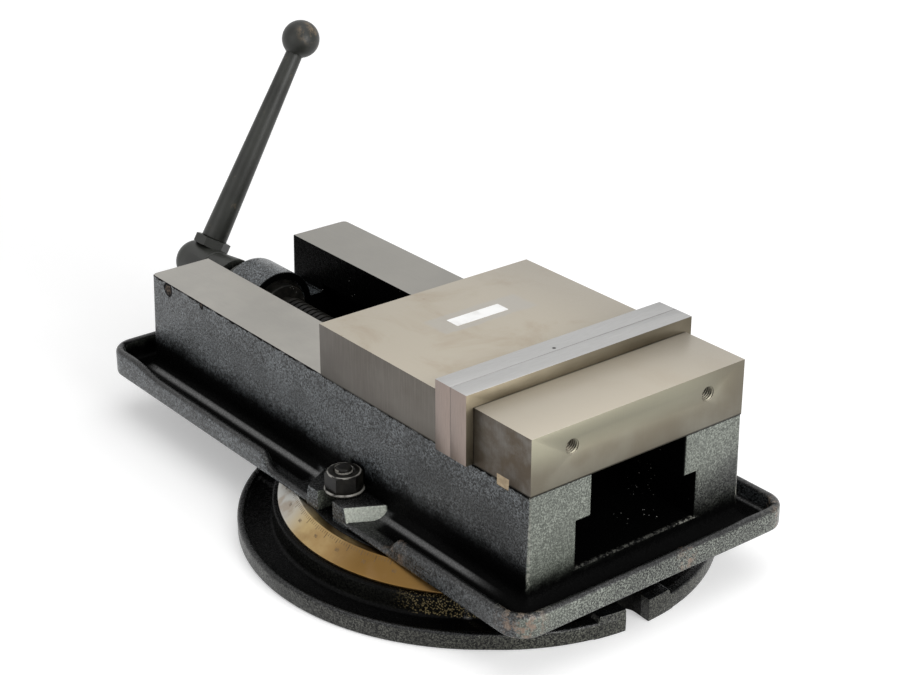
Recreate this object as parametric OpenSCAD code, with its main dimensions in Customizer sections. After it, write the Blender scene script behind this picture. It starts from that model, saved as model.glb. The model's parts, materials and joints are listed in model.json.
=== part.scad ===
// Swivel-base machine vise with a pull-down movable jaw, for drilling and light milling.
// Millimetres, +Z up. The origin is on the swivel axis, on the underside of the base.
// +X points along the ways to the fixed jaw, and -X to the handle.

/* [Bed] */
// Height of the ways above the table
way_height = 120.5; // [114:0.5:130]
// Length of the bed along the ways
bed_length = 462; // [440:1:500]
// Distance from the swivel axis to the front end of the bed
front_reach = 165.5; // [155:0.5:175]
// Width of the bed across the ways
bed_width = 188.5; // [184:0.5:194]
// Width of the slot between the ways
slot_width = 83.5; // [76:0.5:90]
// Depth of the slot between the ways, down to the wider channel
rail_depth = 31; // [27:0.5:34]
// Width of the channel under the ways
channel_width = 108.5; // [100:0.5:114]
// Height of the channel under the ways
channel_height = 34.5; // [32:0.5:38]
// Thickness of the wall that closes the rear end of the channel
end_wall = 40; // [36:1:44]
// Depth of the top of the end wall below the ways
end_wall_drop = 38.5; // [34:0.5:44]
// Radius of the upright corners at the rear of the bed
rear_corner = 7; // [3:0.5:12]
// Radius of the upright corners at the front of the bed
front_corner = 2; // [1:0.5:6]

/* [Tray] */
// How far the tray reaches beside the bed
tray_side = 29.75; // [27:0.25:34]
// How far the tray reaches in front of the bed
tray_front = 26; // [24:1:34]
// How far the tray reaches behind the bed
tray_rear = 28; // [25:1:36]
// Radius of the tray's corners in plan
tray_corner = 20; // [14:1:24]
// Thickness of the tray's floor
tray_floor = 5; // [4:0.5:8]
// Thickness of the tray's lip
lip_thickness = 7; // [5:0.5:8]
// Height of the lip above the tray's underside
lip_height = 17.5; // [14:0.5:20]
// Height of the raised lip at the rear
rear_lip_height = 22; // [20:0.5:30]
// Distance from the tray's rear edge over which the raised lip is full height
rear_lip_full = 35; // [25:1:50]
// Room around the screw's collar where it passes over the rear lip
screw_notch = 2; // [1:0.5:5]
// Length over which the raised lip runs down to the side lips
rear_lip_fall = 45; // [20:1:60]
// Radius of the cove between the bed and the tray
wall_cove = 10; // [6:0.5:12]
// Length of the gap in the side lips at the clamp ears
ear_gap = 140; // [110:1:160]
// Length of the slope at each end of that gap
ear_gap_slope = 13; // [6:1:20]

/* [Clamp ears and bolts] */
// Place of the clamp ears along the bed, from the swivel axis
ear_place = -18.5; // [-34:0.5:0]
// Width of a clamp ear at its tip
ear_tip = 43; // [40:0.5:48]
// Width of a clamp ear at the bed
ear_root = 78; // [60:1:100]
// Thickness of a clamp ear
ear_thickness = 15.5; // [13:0.5:18]
// Width of the slot in a clamp ear
ear_slot = 18; // [17:0.5:20]
// Distance of the clamp bolts from the side of the bed
clamp_bolt_gap = 12.75; // [12.25:0.25:14.75]
// Radius of the clamp bolts
clamp_bolt_r = 6.5; // [6:0.5:7.5]
// Width of the clamp bolts' square heads
clamp_head_width = 26; // [22:0.5:26]
// Height of the clamp bolts' square heads
clamp_head_height = 9; // [7:0.5:11]
// Length of the bolt above its nut
clamp_bolt_tail = 3; // [2:0.5:8]
// Width of the clamp nuts across their flats
clamp_nut_flats = 24; // [22:0.5:24.5]
// Height of the clamp nuts
clamp_nut_height = 12.5; // [10:0.5:16]
// Radius of the clamp washers
clamp_washer_r = 14.4; // [14:0.1:14.8]
// Thickness of the clamp washers
clamp_washer_t = 2.5; // [2:0.5:4]

/* [Swivel base] */
// Height of the base, up to the face that carries the bed
base_height = 36; // [33:0.5:40]
// Radius of the base
base_radius = 177; // [172:0.5:180]
// Height of the base's outer rim
rim_height = 12.5; // [10:0.5:16]
// Width of the base's outer rim
rim_width = 5; // [4:0.5:8]
// Height of the floor of the gutter inside the rim
gutter_floor = 7.5; // [5:0.5:10]
// Width of the hub's ledge around the graduated ring
hub_ledge = 4; // [2:0.5:7]
// Width of the bolt slots for the machine table
table_slot = 20; // [14:0.5:22]
// Distance of the round end of a table slot from the swivel axis
table_slot_place = 166; // [165:0.5:168]
// Reach of the rounded lugs at the table slots
lug_reach = 181; // [180:0.5:184]
// Radius of the rounded lugs in plan
lug_r = 160; // [150:1:165]
// Width of the solid pads on both sides of a table slot
table_pad = 20; // [12:1:24]
// Height of these pads
pad_height = 17; // [16:0.5:20]
// Angle of the base to the bed, as it is set
base_turn = -3.2; // [-45:0.1:45]
// Width of the neck of the ring slot for the clamp bolts
ring_slot_neck = 17; // [16.5:0.5:19]
// Width of the ring slot below its neck
ring_slot_width = 30; // [28.5:0.5:32]
// Height of the ring slot's floor
ring_slot_floor = 10; // [8:0.5:11]
// Thickness of the neck of the ring slot
ring_slot_lip = 12; // [10:0.5:13]
// Radius of the holes under the ring slot through which the bolts go in
bolt_entry_r = 19; // [18.8:0.1:22]
// Radius of the solid middle of the base
base_core = 36; // [30:1:44]
// Thickness of the web over the hollow underside of the base
base_web = 14; // [10:1:20]

/* [Swivel ring and pivot] */
// Wall between the ring slot's neck and the graduated ring
ring_wall = 10.9; // [10:0.1:13]
// Width of the graduated ring
ring_width = 19; // [16:0.5:20.5]
// Width of the ring's flat top
ring_land = 6; // [4.5:0.5:10]
// Height of the ring's bevel
ring_bevel = 11.5; // [6:0.5:12]
// Height of the ring below its bevel
ring_edge = 2; // [1:0.5:4]
// Radius of the pivot pin
pivot_r = 20; // [14:0.5:26]
// Length of the pivot pin inside the bed
pivot_rise = 12; // [6:0.5:13]
// Thickness of the base under the pivot pin
pivot_floor = 6; // [4:0.5:12]

/* [Fixed jaw] */
// Depth of the fixed jaw along the ways
fixed_jaw_depth = 57; // [52:0.5:66]
// How far the fixed jaw stays inside the bed on each side
fixed_jaw_inset = 0.25; // [0:0.25:4]
// Height of the fixed jaw above the ways
fixed_jaw_height = 41; // [36:0.5:48]
// Width of the keys under the fixed jaw
key_width = 12; // [8:0.5:14]
// Height of the keys, half in the bed and half in the jaw
key_height = 8; // [6:0.5:14]
// Distance of the keys from the front end
key_place = 27; // [25:0.5:29]
// Radius of the bolts that hold the fixed jaw
jaw_bolt_r = 6; // [5:0.25:6.5]
// Distance of the jaw bolts in front of and behind the keys
jaw_bolt_offset = 16.5; // [15:0.5:18]
// Distance of the jaw bolts from the centre line
jaw_bolt_place = 74; // [72:0.5:77]
// Width of the hexagonal sockets in the jaw bolts across their flats
jaw_socket_flats = 10; // [6:0.5:11]
// Distance of the two tapped holes in the outer face from the centre line
tapped_place = 60; // [50:0.5:61]
// Mean thread radius of these holes
tapped_r = 5.45; // [4:0.05:5.5]
// Depth of these holes
tapped_depth = 30; // [20:1:32]
// Depth of the jaw bolts in the jaw
jaw_bolt_depth = 24; // [16:0.5:28]
// Thickness of the bed between the jaw bolts' heads and the ways
jaw_bolt_grip = 46; // [36:0.5:56]

/* [Jaw plates] */
// How far the jaw plates overhang the bed on each side
plate_overhang = 5.75; // [1:0.25:15]
// Thickness of the jaw plates
plate_thickness = 16; // [14:0.5:22]
// Height of the jaw plates above the ways
plate_height = 51; // [46:0.5:58]
// Distance of the plate screws from the centre line
plate_screw_place = 46; // [36:1:48]
// Height of the plate screws above the ways
plate_screw_height = 25.5; // [18:0.5:27]
// Mean thread radius of the plate screws
plate_screw_r = 5.4; // [4:0.1:6]
// Radius of the plate screws' heads
plate_head_r = 9; // [8:0.25:10]
// Height of the plate screws' heads
plate_head_height = 12; // [9:0.5:12]
// Width of the hexagonal sockets in the plate screws across their flats
plate_socket_flats = 10; // [6:0.5:11]
// Depth of the plate screws in the jaws
plate_screw_depth = 24; // [16:0.5:30]

/* [Movable jaw] */
// Length of the movable jaw along the ways
jaw_length = 138; // [132:1:150]
// How far the movable jaw overhangs the bed on each side
jaw_overhang = 0.75; // [-4:0.25:4]
// Height of the movable jaw above the ways
jaw_height = 40; // [38:0.5:46]
// Depth of the jaw's tongue in the slot between the ways
tongue_depth = 12; // [6:0.5:18]
// Distance of the tongue from both ends of the jaw
tongue_inset = 6; // [2:0.5:12]
// Width of the pocket in the jaw for the nut
pocket_width = 54; // [46:0.5:60]
// Thickness of the jaw over the pocket
pocket_roof = 9; // [6:0.5:12]
// Thickness of the jaw behind the pocket
pocket_back = 17; // [12:0.5:22]
// Radius of the half ball between the nut and the jaw
half_ball_r = 14; // [11:0.5:15]
// How far the half ball stands out of its seat in the jaw
half_ball_stand = 8; // [5:0.5:9]
// Mean thread radius of the set screw at the back of the jaw
jaw_set_r = 5.4; // [4:0.1:7]

/* [Screw and nut] */
// Depth of the screw's axis below the ways
screw_drop = 41.5; // [40.5:0.5:43]
// Radius of the screw's thread
screw_r = 14; // [12:0.5:15]
// Length of the screw in front of the swivel axis
screw_front = 45; // [30:1:60]
// Radius of the screw's journal in the bed
journal_r = 12.5; // [11.5:0.25:13.5]
// Length of the nut along the screw
nut_length = 70; // [62:1:80]
// Distance of the nut's back face behind the pocket's back wall
nut_setback = 5; // [0:0.5:10]
// Height of the nut under the ways
nut_height = 31; // [29.5:0.5:31.5]
// Width of the ridge on the nut, between the ways
nut_ridge_width = 60; // [56:0.5:66]
// Height of the ridge on the nut above the channel's step
nut_ridge = 10; // [6:0.5:12]
// Width of the nut's post in the jaw's pocket
nut_post_width = 50; // [42:0.5:53]
// Length of the nut's post at its foot
nut_post_foot = 50; // [46:0.5:54]

/* [Screw bearing] */
// Radius of the bearing boss at the rear of the bed
boss_r = 30.5; // [29:0.5:32]
// How far the boss stands out behind the bed
boss_overhang = 5; // [4:0.5:16]
// Radius of the recess for the thrust bearing
bearing_recess_r = 24; // [23:0.1:25]
// Depth of the recess for the thrust bearing
bearing_recess = 14; // [13:0.5:16]
// Wall of the bush in the boss
bush_wall = 3.5; // [2:0.25:5]
// Thickness of each thrust washer
thrust_washer_t = 3; // [2:0.25:3.5]
// Radius of the thrust bearing's balls
thrust_ball_r = 3; // [2:0.25:3.25]
// Number of balls in the thrust bearing
thrust_balls_n = 12; // [6:1:14]
// Radius of the screw's flange on the thrust bearing
flange_r = 21; // [18:0.5:22]
// Thickness of the screw's flange
flange_t = 7.7; // [5:0.1:9]
// Radius of the retaining collar behind the boss
collar_r = 20; // [18:0.5:24]
// Width of the retaining collar
collar_width = 13; // [10:0.5:16]
// Mean thread radius of the collar's set screw
collar_set_r = 2.7; // [2:0.1:3.5]

/* [Handle] */
// Distance from the retaining collar to the handle's hub
hub_gap = 11; // [5:0.5:14]
// Radius of the handle's hub
handle_hub_r = 20; // [18:0.5:24]
// Length of the handle's hub
handle_hub_length = 74; // [62:1:80]
// Radius of the round end of the hub
hub_round = 18; // [8:0.5:18]
// Width of the screw's hexagonal end across its flats
hex_flats = 19; // [16:0.5:20]
// Depth of the hexagonal socket in the hub
hex_depth = 32; // [24:0.5:32]
// Distance of the lever from the hub's rear end
lever_place = 24.5; // [20:0.5:28]
// Lean of the lever from upright
lever_lean = 31.1; // [-90:0.1:90]
// Height of the lever's seat on the hub above the screw's axis
lever_seat = 16; // [15:0.5:19]
// Width of the lever's lock nut across its flats
lever_nut_flats = 27; // [24:0.5:31]
// Height of the lever's lock nut
lever_nut_height = 8; // [6:0.5:12]
// Radius of the lever's threaded end
lever_stud_r = 8; // [6:0.5:8.5]
// Radius of the lever at its foot
lever_foot_r = 11; // [9.5:0.25:13]
// Radius of the lever at its top
lever_top_r = 7.25; // [6:0.25:9]
// Distance of the ball's centre from the screw's axis
ball_reach = 209.5; // [180:0.5:240]
// Radius of the ball on the lever
ball_r = 16; // [13:0.5:20]
// Radius of the lever's pin in the ball
ball_pin_r = 5; // [3.5:0.25:5.5]

/* [Clearances] */
// Clearance around the screw's journal, the pivot and the threads, and under the bed
running_fit = 0.05; // [0.02:0.01:0.1]
// Clearance of parts that slide beside each other
slide_fit = 0.3; // [0.2:0.05:0.5]
// Clearance of bolts in plain holes, on the radius
bolt_fit = 0.5; // [0.3:0.1:0.8]

/* [Hidden] */
$fn = 96;
// How far a cut runs past the face that it opens
cut = 1;
// Wall between the ring slot and the hollow underside of the base
core_wall = 8;
// Free space behind, above and in front of the nut's post in the jaw's pocket
post_back_gap = 5;
post_roof_gap = 2;
post_front_gap = 7;
// Height of the sloping face at the top of the nut's post, which leans at 45 degrees
post_slope = 30;
// Room around the lever's lock nut on its seat
lever_nut_room = 1;
// How far the ball's mouth is wider than the lever
ball_mouth = 1;
// Space between the thrust cage and the edges of the washers
cage_inset = 1;
// How far the round end of the ear's slot lies inside the bolt's place
ear_slot_room = 2;
bed_rear = front_reach - bed_length;
bed_half = bed_width / 2;
tray_width = bed_width + 2 * tray_side;
tray_half = tray_width / 2;
fixed_jaw_width = bed_width - 2 * fixed_jaw_inset;
jaw_width = bed_width + 2 * jaw_overhang;
plate_length = bed_width + 2 * plate_overhang;
clamp_bolt_place = bed_half + clamp_bolt_gap;
tray_x0 = bed_rear - tray_rear;
tray_x1 = front_reach + tray_front;
tray_top = base_height + tray_floor;
channel_top = way_height - rail_depth;
channel_bottom = channel_top - channel_height;
channel_rear = bed_rear + end_wall;
end_wall_top = way_height - end_wall_drop;
ear_top = base_height + ear_thickness;
ring_slot_r = norm([ear_place, clamp_bolt_place]);
ring_inner = ring_slot_r + ring_slot_neck / 2 + ring_wall;
ring_top = ring_inner + ring_land;
ring_outer = ring_inner + ring_width;
hub_radius = ring_outer + hub_ledge;
ring_slot_top = base_height - ring_slot_lip;
clamp_nut_z = ear_top + clamp_washer_t;
spot_face_r = clamp_washer_r + slide_fit;
gutter_outer = base_radius - rim_width;
ring_seat = base_height - ring_bevel - ring_edge;
core_outer = ring_slot_r - ring_slot_width / 2 - core_wall;
fixed_jaw_x0 = front_reach - fixed_jaw_depth;
key_x = front_reach - key_place;
jaw_head_seat = way_height - jaw_bolt_grip;
jaw_head_r = 1.5 * jaw_bolt_r;
jaw_head_height = 2 * jaw_bolt_r;
seam_x = fixed_jaw_x0 - plate_thickness;
jaw_x1 = seam_x - plate_thickness;
jaw_x0 = jaw_x1 - jaw_length;
plate_screw_z = way_height + plate_screw_height;
screw_z = way_height - screw_drop;
pocket_x0 = jaw_x0 + pocket_back;
pocket_top = way_height + jaw_height - pocket_roof;
post_x0 = pocket_x0 + post_back_gap;
post_x1 = post_x0 + nut_post_foot;
post_top = pocket_top - post_roof_gap;
nut_x0 = pocket_x0 - nut_setback;
nut_x1 = nut_x0 + nut_length;
nut_top = channel_top - slide_fit;
nut_bottom = nut_top - nut_height;
slope_z0 = post_top - post_slope;
ball_seat_x = post_x1 + post_slope / 2;
ball_seat_z = slope_z0 + post_slope / 2;
jaw_set_z = ball_seat_z + jaw_set_r;
recess_x = channel_rear - bearing_recess;
boss_x = bed_rear - boss_overhang;
bush_r = journal_r + bush_wall;
thrust_washer_r = bearing_recess_r - slide_fit;
thrust_pitch = (thrust_washer_r + journal_r) / 2;
ball_room = 2 * thrust_ball_r + slide_fit;
balls_x = recess_x + thrust_washer_t + ball_room / 2;
washer_front_x = balls_x + ball_room / 2;
flange_x = washer_front_x + thrust_washer_t;
cage_r0 = journal_r + cage_inset;
cage_r1 = thrust_washer_r - cage_inset;
collar_x1 = boss_x - slide_fit;
collar_x0 = collar_x1 - collar_width;
handle_x1 = collar_x0 - hub_gap;
handle_x0 = handle_x1 - handle_hub_length;
lever_x = handle_x0 + lever_place;
lever_nut_r = lever_nut_flats / 2 / cos(30);
lever_foot = lever_seat + lever_nut_height;
lever_top = ball_reach - sqrt(ball_r * ball_r - lever_top_r * lever_top_r);
paint = [0.13, 0.14, 0.14];
ground_steel = [0.66, 0.63, 0.58];
hardened_steel = [0.70, 0.70, 0.71];
black_oxide = [0.18, 0.18, 0.16];
brass_yellow = [0.72, 0.56, 0.30];
bright_steel = [0.75, 0.75, 0.76];

// Shared shapes

// A bar along X from x0 to x1, on a centre at height z
module rod_x(x0, x1, r, z) {
    translate([x0, 0, z]) rotate([0, 90, 0]) cylinder(r = r, h = x1 - x0);
}

// A block that is centred on the bed's centre line
module block(x0, x1, width, z0, z1) {
    translate([x0, -width / 2, z0]) cube([x1 - x0, width, z1 - z0]);
}

// A rectangle with round corners, from x0 to x1 and centred across
module round_rectangle(x0, x1, width, r) {
    translate([x0 + r, -width / 2]) square([x1 - x0 - 2 * r, width]);
    translate([x0, -width / 2 + r]) square([x1 - x0, width - 2 * r]);
    for (x = [x0 + r, x1 - r], y = [-1, 1]) translate([x, y * (width / 2 - r)]) circle(r);
}

// A six-sided bar, with its size across the flats
module hexagon_bar(flats, h) {
    cylinder(r = flats / 2 / cos(30), h = h, $fn = 6);
}

// An outline in X and Z, swept across the bed
module across(width) {
    translate([0, width / 2, 0]) rotate([90, 0, 0]) linear_extrude(width) children();
}

// Both sides of the bed
module both_sides() {
    children();
    mirror([0, 1, 0]) children();
}

// The lever's own axis, from the screw's axis outwards
module along_lever() {
    translate([lever_x, 0, screw_z]) rotate([-lever_lean, 0, 0]) children();
}

// Places of the two screws in a jaw plate
module at_plate_screws(x) {
    for (side = [-1, 1]) translate([x, side * plate_screw_place, plate_screw_z]) children();
}

// Places of the four bolts under the fixed jaw
module at_jaw_bolts() {
    for (step = [-1, 1], side = [-1, 1])
        translate([key_x + step * jaw_bolt_offset, side * jaw_bolt_place, 0]) children();
}

// Places of the two clamp bolts
module at_clamp_bolts(z) {
    for (side = [-1, 1]) translate([ear_place, side * clamp_bolt_place, z]) children();
}

// Swivel base

module base_section() {
    difference() {
        square([base_radius, base_height - running_fit]);
        translate([gutter_outer, rim_height]) square([rim_width + cut, base_height]);
        translate([hub_radius, gutter_floor]) square([gutter_outer - hub_radius, base_height]);
        translate([ring_inner, ring_seat]) square([hub_radius - ring_inner + cut, base_height]);
        translate([base_core, -cut]) square([core_outer - base_core, base_height - base_web + cut]);
        translate([ring_slot_r - ring_slot_width / 2, ring_slot_floor])
            square([ring_slot_width, ring_slot_top - ring_slot_floor]);
        translate([ring_slot_r - ring_slot_neck / 2, ring_slot_floor])
            square([ring_slot_neck, base_height]);
    }
}

module table_slot_outline() {
    translate([table_slot_place, 0]) circle(table_slot / 2);
    translate([table_slot_place, -table_slot / 2]) square([base_radius, table_slot]);
}

// The lug widens the rim, and a solid pad joins it to the hub on both sides of the slot
module table_lug() {
    difference() {
        translate([lug_reach - lug_r, 0, 0]) cylinder(r = lug_r, h = rim_height);
        translate([0, 0, -cut]) cylinder(r = gutter_outer + cut, h = rim_height + 2 * cut);
    }
    intersection() {
        translate([lug_reach - lug_r, 0, 0]) cylinder(r = lug_r, h = pad_height);
        block(hub_radius - cut, lug_reach, table_slot + 2 * table_pad, 0, pad_height);
    }
}

module swivel_base() {
    color(paint) rotate(base_turn) difference() {
        union() {
            rotate_extrude() base_section();
            for (turn = [0, 180]) rotate(turn) table_lug();
        }
        for (turn = [0, 180]) {
            rotate(turn) translate([0, 0, -cut])
                linear_extrude(base_height + 2 * cut) table_slot_outline();
            rotate(turn + 45) translate([ring_slot_r, 0, -cut])
                cylinder(r = bolt_entry_r, h = ring_slot_floor + 2 * cut);
        }
        translate([0, 0, pivot_floor]) cylinder(r = pivot_r, h = base_height);
    }
}

module graduated_ring() {
    color(brass_yellow) rotate_extrude() polygon([
        [ring_inner + running_fit, ring_seat],
        [ring_outer, ring_seat],
        [ring_outer, ring_seat + ring_edge],
        [ring_top, base_height - slide_fit],
        [ring_inner + running_fit, base_height - slide_fit]
    ]);
}

module pivot_pin() {
    color(bright_steel) translate([0, 0, pivot_floor])
        cylinder(r = pivot_r, h = base_height - pivot_floor + pivot_rise);
}

// Bed

// The cove reaches a little into the floor that it joins
module cove_section() {
    difference() {
        translate([0, -cut]) square([wall_cove, wall_cove + cut]);
        translate([wall_cove, wall_cove]) circle(wall_cove);
    }
}

module bed_outline() {
    intersection() {
        round_rectangle(bed_rear, front_reach + rear_corner, bed_width, rear_corner);
        round_rectangle(bed_rear - front_corner, front_reach, bed_width, front_corner);
    }
}

// The cove runs along the sides and ends of the bed and turns round its corners
module bed_cove() {
    side_x0 = bed_rear + rear_corner;
    side_x1 = front_reach - front_corner;
    translate([0, 0, tray_top]) both_sides() {
        translate([side_x0, bed_half, 0])
            rotate([90, 0, 90]) linear_extrude(side_x1 - side_x0) cove_section();
        translate([side_x0, bed_half - rear_corner, 0])
            rotate(90) rotate_extrude(angle = 90) translate([rear_corner, 0]) cove_section();
        translate([side_x1, bed_half - front_corner, 0])
            rotate_extrude(angle = 90) translate([front_corner, 0]) cove_section();
    }
    front_run = bed_width - 2 * front_corner;
    rear_run = bed_width - 2 * rear_corner;
    translate([front_reach, front_run / 2, tray_top])
        rotate([90, 0, 0]) linear_extrude(front_run) cove_section();
    translate([bed_rear, -rear_run / 2, tray_top])
        rotate([90, 0, 180]) linear_extrude(rear_run) cove_section();
}

module tray_outline() {
    round_rectangle(tray_x0, tray_x1, tray_width, tray_corner);
}

module tray_inside() {
    round_rectangle(
        tray_x0 + lip_thickness, tray_x1 - lip_thickness,
        tray_width - 2 * lip_thickness, tray_corner - lip_thickness
    );
}

// Side view of the lip's upper edge, with its raised rear and the gaps at the ears
module lip_side_view() {
    full_x = tray_x0 + rear_lip_full;
    fall_x = full_x + rear_lip_fall;
    gap_x0 = ear_place - ear_gap / 2;
    gap_x1 = ear_place + ear_gap / 2;
    polygon([
        [tray_x0 - cut, base_height],
        [tray_x1 + cut, base_height],
        [tray_x1 + cut, base_height + lip_height],
        [gap_x1 + ear_gap_slope, base_height + lip_height],
        [gap_x1, tray_top],
        [gap_x0, tray_top],
        [gap_x0 - ear_gap_slope, base_height + lip_height],
        [fall_x, base_height + lip_height],
        [full_x, base_height + rear_lip_height],
        [tray_x0 - cut, base_height + rear_lip_height]
    ]);
}

module tray() {
    translate([0, 0, base_height]) linear_extrude(tray_floor) tray_outline();
    intersection() {
        translate([0, 0, base_height]) linear_extrude(rear_lip_height) difference() {
            tray_outline();
            tray_inside();
        }
        across(tray_width + 2 * cut) lip_side_view();
    }
}

module ear_outline() {
    polygon([
        [ear_place - ear_root / 2, bed_half],
        [ear_place + ear_root / 2, bed_half],
        [ear_place + ear_tip / 2, tray_half],
        [ear_place - ear_tip / 2, tray_half]
    ]);
}

module ear_slot_outline() {
    slot_end = clamp_bolt_place - ear_slot_room;
    translate([ear_place, slot_end]) circle(ear_slot / 2);
    translate([ear_place - ear_slot / 2, slot_end]) square([ear_slot, tray_half]);
}

module jaw_bolt_counterbores() {
    at_jaw_bolts() cylinder(r = jaw_head_r + bolt_fit, h = jaw_head_seat);
}

module pivot_bore() {
    translate([0, 0, base_height - cut])
        cylinder(r = pivot_r + running_fit, h = pivot_rise + slide_fit + cut);
}

// The tray, its cove and the clamp ears lie round the foot of the bed
module drip_tray() {
    color(paint) difference() {
        union() {
            tray();
            bed_cove();
            both_sides() translate([0, 0, base_height]) linear_extrude(ear_thickness) ear_outline();
        }
        rod_x(tray_x0 - cut, tray_x0 + lip_thickness + cut, collar_r + screw_notch, screw_z);
        rod_x(boss_x, bed_rear + cut, boss_r, screw_z);
        both_sides() translate([0, 0, base_height - cut])
            linear_extrude(ear_thickness + 2 * cut) ear_slot_outline();
        pivot_bore();
        jaw_bolt_counterbores();
    }
}

module key_slot() {
    block(key_x - key_width / 2, key_x + key_width / 2, bed_width + 2 * cut,
        way_height - key_height / 2, way_height + cut);
}

// The open channel between the two rails, with the notch in the end wall
module bed_channel() {
    block(channel_rear, front_reach + cut, channel_width, channel_bottom, way_height + cut);
    block(bed_rear - cut, channel_rear + cut, slot_width, end_wall_top, way_height + cut);
}

module bed() {
    color(paint) difference() {
        translate([0, 0, tray_top]) linear_extrude(way_height - tray_top) bed_outline();
        bed_channel();
        rod_x(bed_rear - cut, channel_rear + cut, boss_r, screw_z);
        pivot_bore();
        at_clamp_bolts(ear_top) cylinder(r = spot_face_r, h = clamp_nut_height + clamp_washer_t);
        key_slot();
        at_jaw_bolts() cylinder(r = jaw_bolt_r + bolt_fit, h = way_height + cut);
        jaw_bolt_counterbores();
    }
}

// Inner strips of the two ways, which overhang the channel and hold the nut down
module inner_ways() {
    color(paint) difference() {
        block(channel_rear, front_reach, channel_width, channel_top, way_height);
        block(channel_rear - cut, front_reach + cut, slot_width, channel_top - cut, way_height + cut);
        key_slot();
    }
}

// Round boss in the end wall that carries the screw
module screw_boss() {
    color(paint) difference() {
        rod_x(boss_x, channel_rear, boss_r, screw_z);
        rod_x(boss_x - cut, recess_x + cut, bush_r, screw_z);
        rod_x(recess_x, channel_rear + cut, bearing_recess_r, screw_z);
    }
}

// Fixed jaw

module fixed_jaw() {
    color(ground_steel) difference() {
        block(fixed_jaw_x0, front_reach, fixed_jaw_width, way_height, way_height + fixed_jaw_height);
        block(key_x - key_width / 2, key_x + key_width / 2, fixed_jaw_width + 2 * cut,
            way_height - cut, way_height + key_height / 2);
        at_jaw_bolts() cylinder(r = jaw_bolt_r + running_fit, h = way_height + jaw_bolt_depth + cut);
        at_plate_screws(fixed_jaw_x0 - cut) rotate([0, 90, 0])
            cylinder(r = plate_screw_r + running_fit, h = plate_screw_depth + 2 * cut);
        both_sides() translate([front_reach - tapped_depth, tapped_place, plate_screw_z])
            rotate([0, 90, 0]) cylinder(r = tapped_r, h = tapped_depth + cut);
    }
}

module fixed_jaw_keys() {
    key_length = (min(bed_width, fixed_jaw_width) - slot_width) / 2;
    color(brass_yellow) both_sides()
        translate([key_x - key_width / 2, slot_width / 2, way_height - key_height / 2])
            cube([key_width, key_length, key_height]);
}

module fixed_jaw_bolts() {
    color(black_oxide) at_jaw_bolts() difference() {
        union() {
            translate([0, 0, jaw_head_seat - jaw_head_height]) cylinder(r = jaw_head_r, h = jaw_head_height);
            translate([0, 0, jaw_head_seat]) cylinder(r = jaw_bolt_r, h = jaw_bolt_grip + jaw_bolt_depth);
        }
        translate([0, 0, jaw_head_seat - jaw_head_height - cut])
            hexagon_bar(jaw_socket_flats, jaw_head_height / 2 + cut);
    }
}

// Jaw plates and their screws. A plate lies on x, and its screw heads face the way given

module jaw_plate(x, facing) {
    color(hardened_steel) difference() {
        block(x, x + plate_thickness, plate_length, way_height, way_height + plate_height);
        at_plate_screws(x + plate_thickness / 2) rotate([0, 90 * facing, 0]) {
            cylinder(r = plate_screw_r + bolt_fit, h = plate_thickness + cut, center = true);
            translate([0, 0, plate_thickness / 2 - plate_head_height - bolt_fit])
                cylinder(r = plate_head_r + bolt_fit, h = plate_thickness);
        }
    }
}

module plate_screws(x, facing) {
    color(black_oxide) at_plate_screws(x + plate_thickness / 2) rotate([0, 90 * facing, 0]) {
        under_head = plate_thickness / 2 - plate_head_height - bolt_fit;
        shank = plate_screw_depth + plate_thickness / 2 + under_head;
        difference() {
            union() {
                translate([0, 0, under_head]) cylinder(r = plate_head_r, h = plate_head_height);
                translate([0, 0, under_head - shank]) cylinder(r = plate_screw_r, h = shank);
            }
            translate([0, 0, under_head + plate_head_height / 2])
                hexagon_bar(plate_socket_flats, plate_head_height);
        }
    }
}

module fixed_jaw_plate() {
    jaw_plate(seam_x, -1);
}

module fixed_plate_screws() {
    plate_screws(seam_x, -1);
}

module movable_jaw_plate() {
    jaw_plate(jaw_x1, 1);
}

module movable_plate_screws() {
    plate_screws(jaw_x1, 1);
}

// Clamp bolts, washers and nuts

module clamp_bolts() {
    head_top = ring_slot_top - slide_fit;
    shank_top = clamp_nut_z + clamp_nut_height + clamp_bolt_tail;
    color(black_oxide) for (side = [-1, 1])
        translate([ear_place, side * clamp_bolt_place, 0]) {
            toward_axis = atan2(side * clamp_bolt_place, ear_place);
            rotate(toward_axis) block(-clamp_head_width / 2, clamp_head_width / 2, clamp_head_width,
                head_top - clamp_head_height, head_top);
            translate([0, 0, head_top - cut]) cylinder(r = clamp_bolt_r, h = shank_top - head_top + cut);
        }
}

module clamp_washers() {
    color(black_oxide) at_clamp_bolts(ear_top) difference() {
        cylinder(r = clamp_washer_r, h = clamp_washer_t);
        translate([0, 0, -cut]) cylinder(r = clamp_bolt_r + bolt_fit, h = clamp_washer_t + 2 * cut);
    }
}

module clamp_nut(side) {
    color(black_oxide) translate([ear_place, side * clamp_bolt_place, clamp_nut_z]) difference() {
        hexagon_bar(clamp_nut_flats, clamp_nut_height);
        translate([0, 0, -cut]) cylinder(r = clamp_bolt_r + running_fit, h = clamp_nut_height + 2 * cut);
    }
}

module clamp_nut_near() {
    clamp_nut(-1);
}

module clamp_nut_far() {
    clamp_nut(1);
}

// Screw bearing in the bed

module ring_x(x0, x1, r0, r1) {
    difference() {
        rod_x(x0, x1, r1, screw_z);
        rod_x(x0 - cut, x1 + cut, r0, screw_z);
    }
}

module at_thrust_balls() {
    for (turn = [0 : 360 / thrust_balls_n : 359])
        translate([balls_x, 0, screw_z]) rotate([turn, 0, 0]) translate([0, thrust_pitch, 0]) children();
}

module screw_bush() {
    color(brass_yellow) ring_x(boss_x, recess_x, journal_r + running_fit, bush_r);
}

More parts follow.
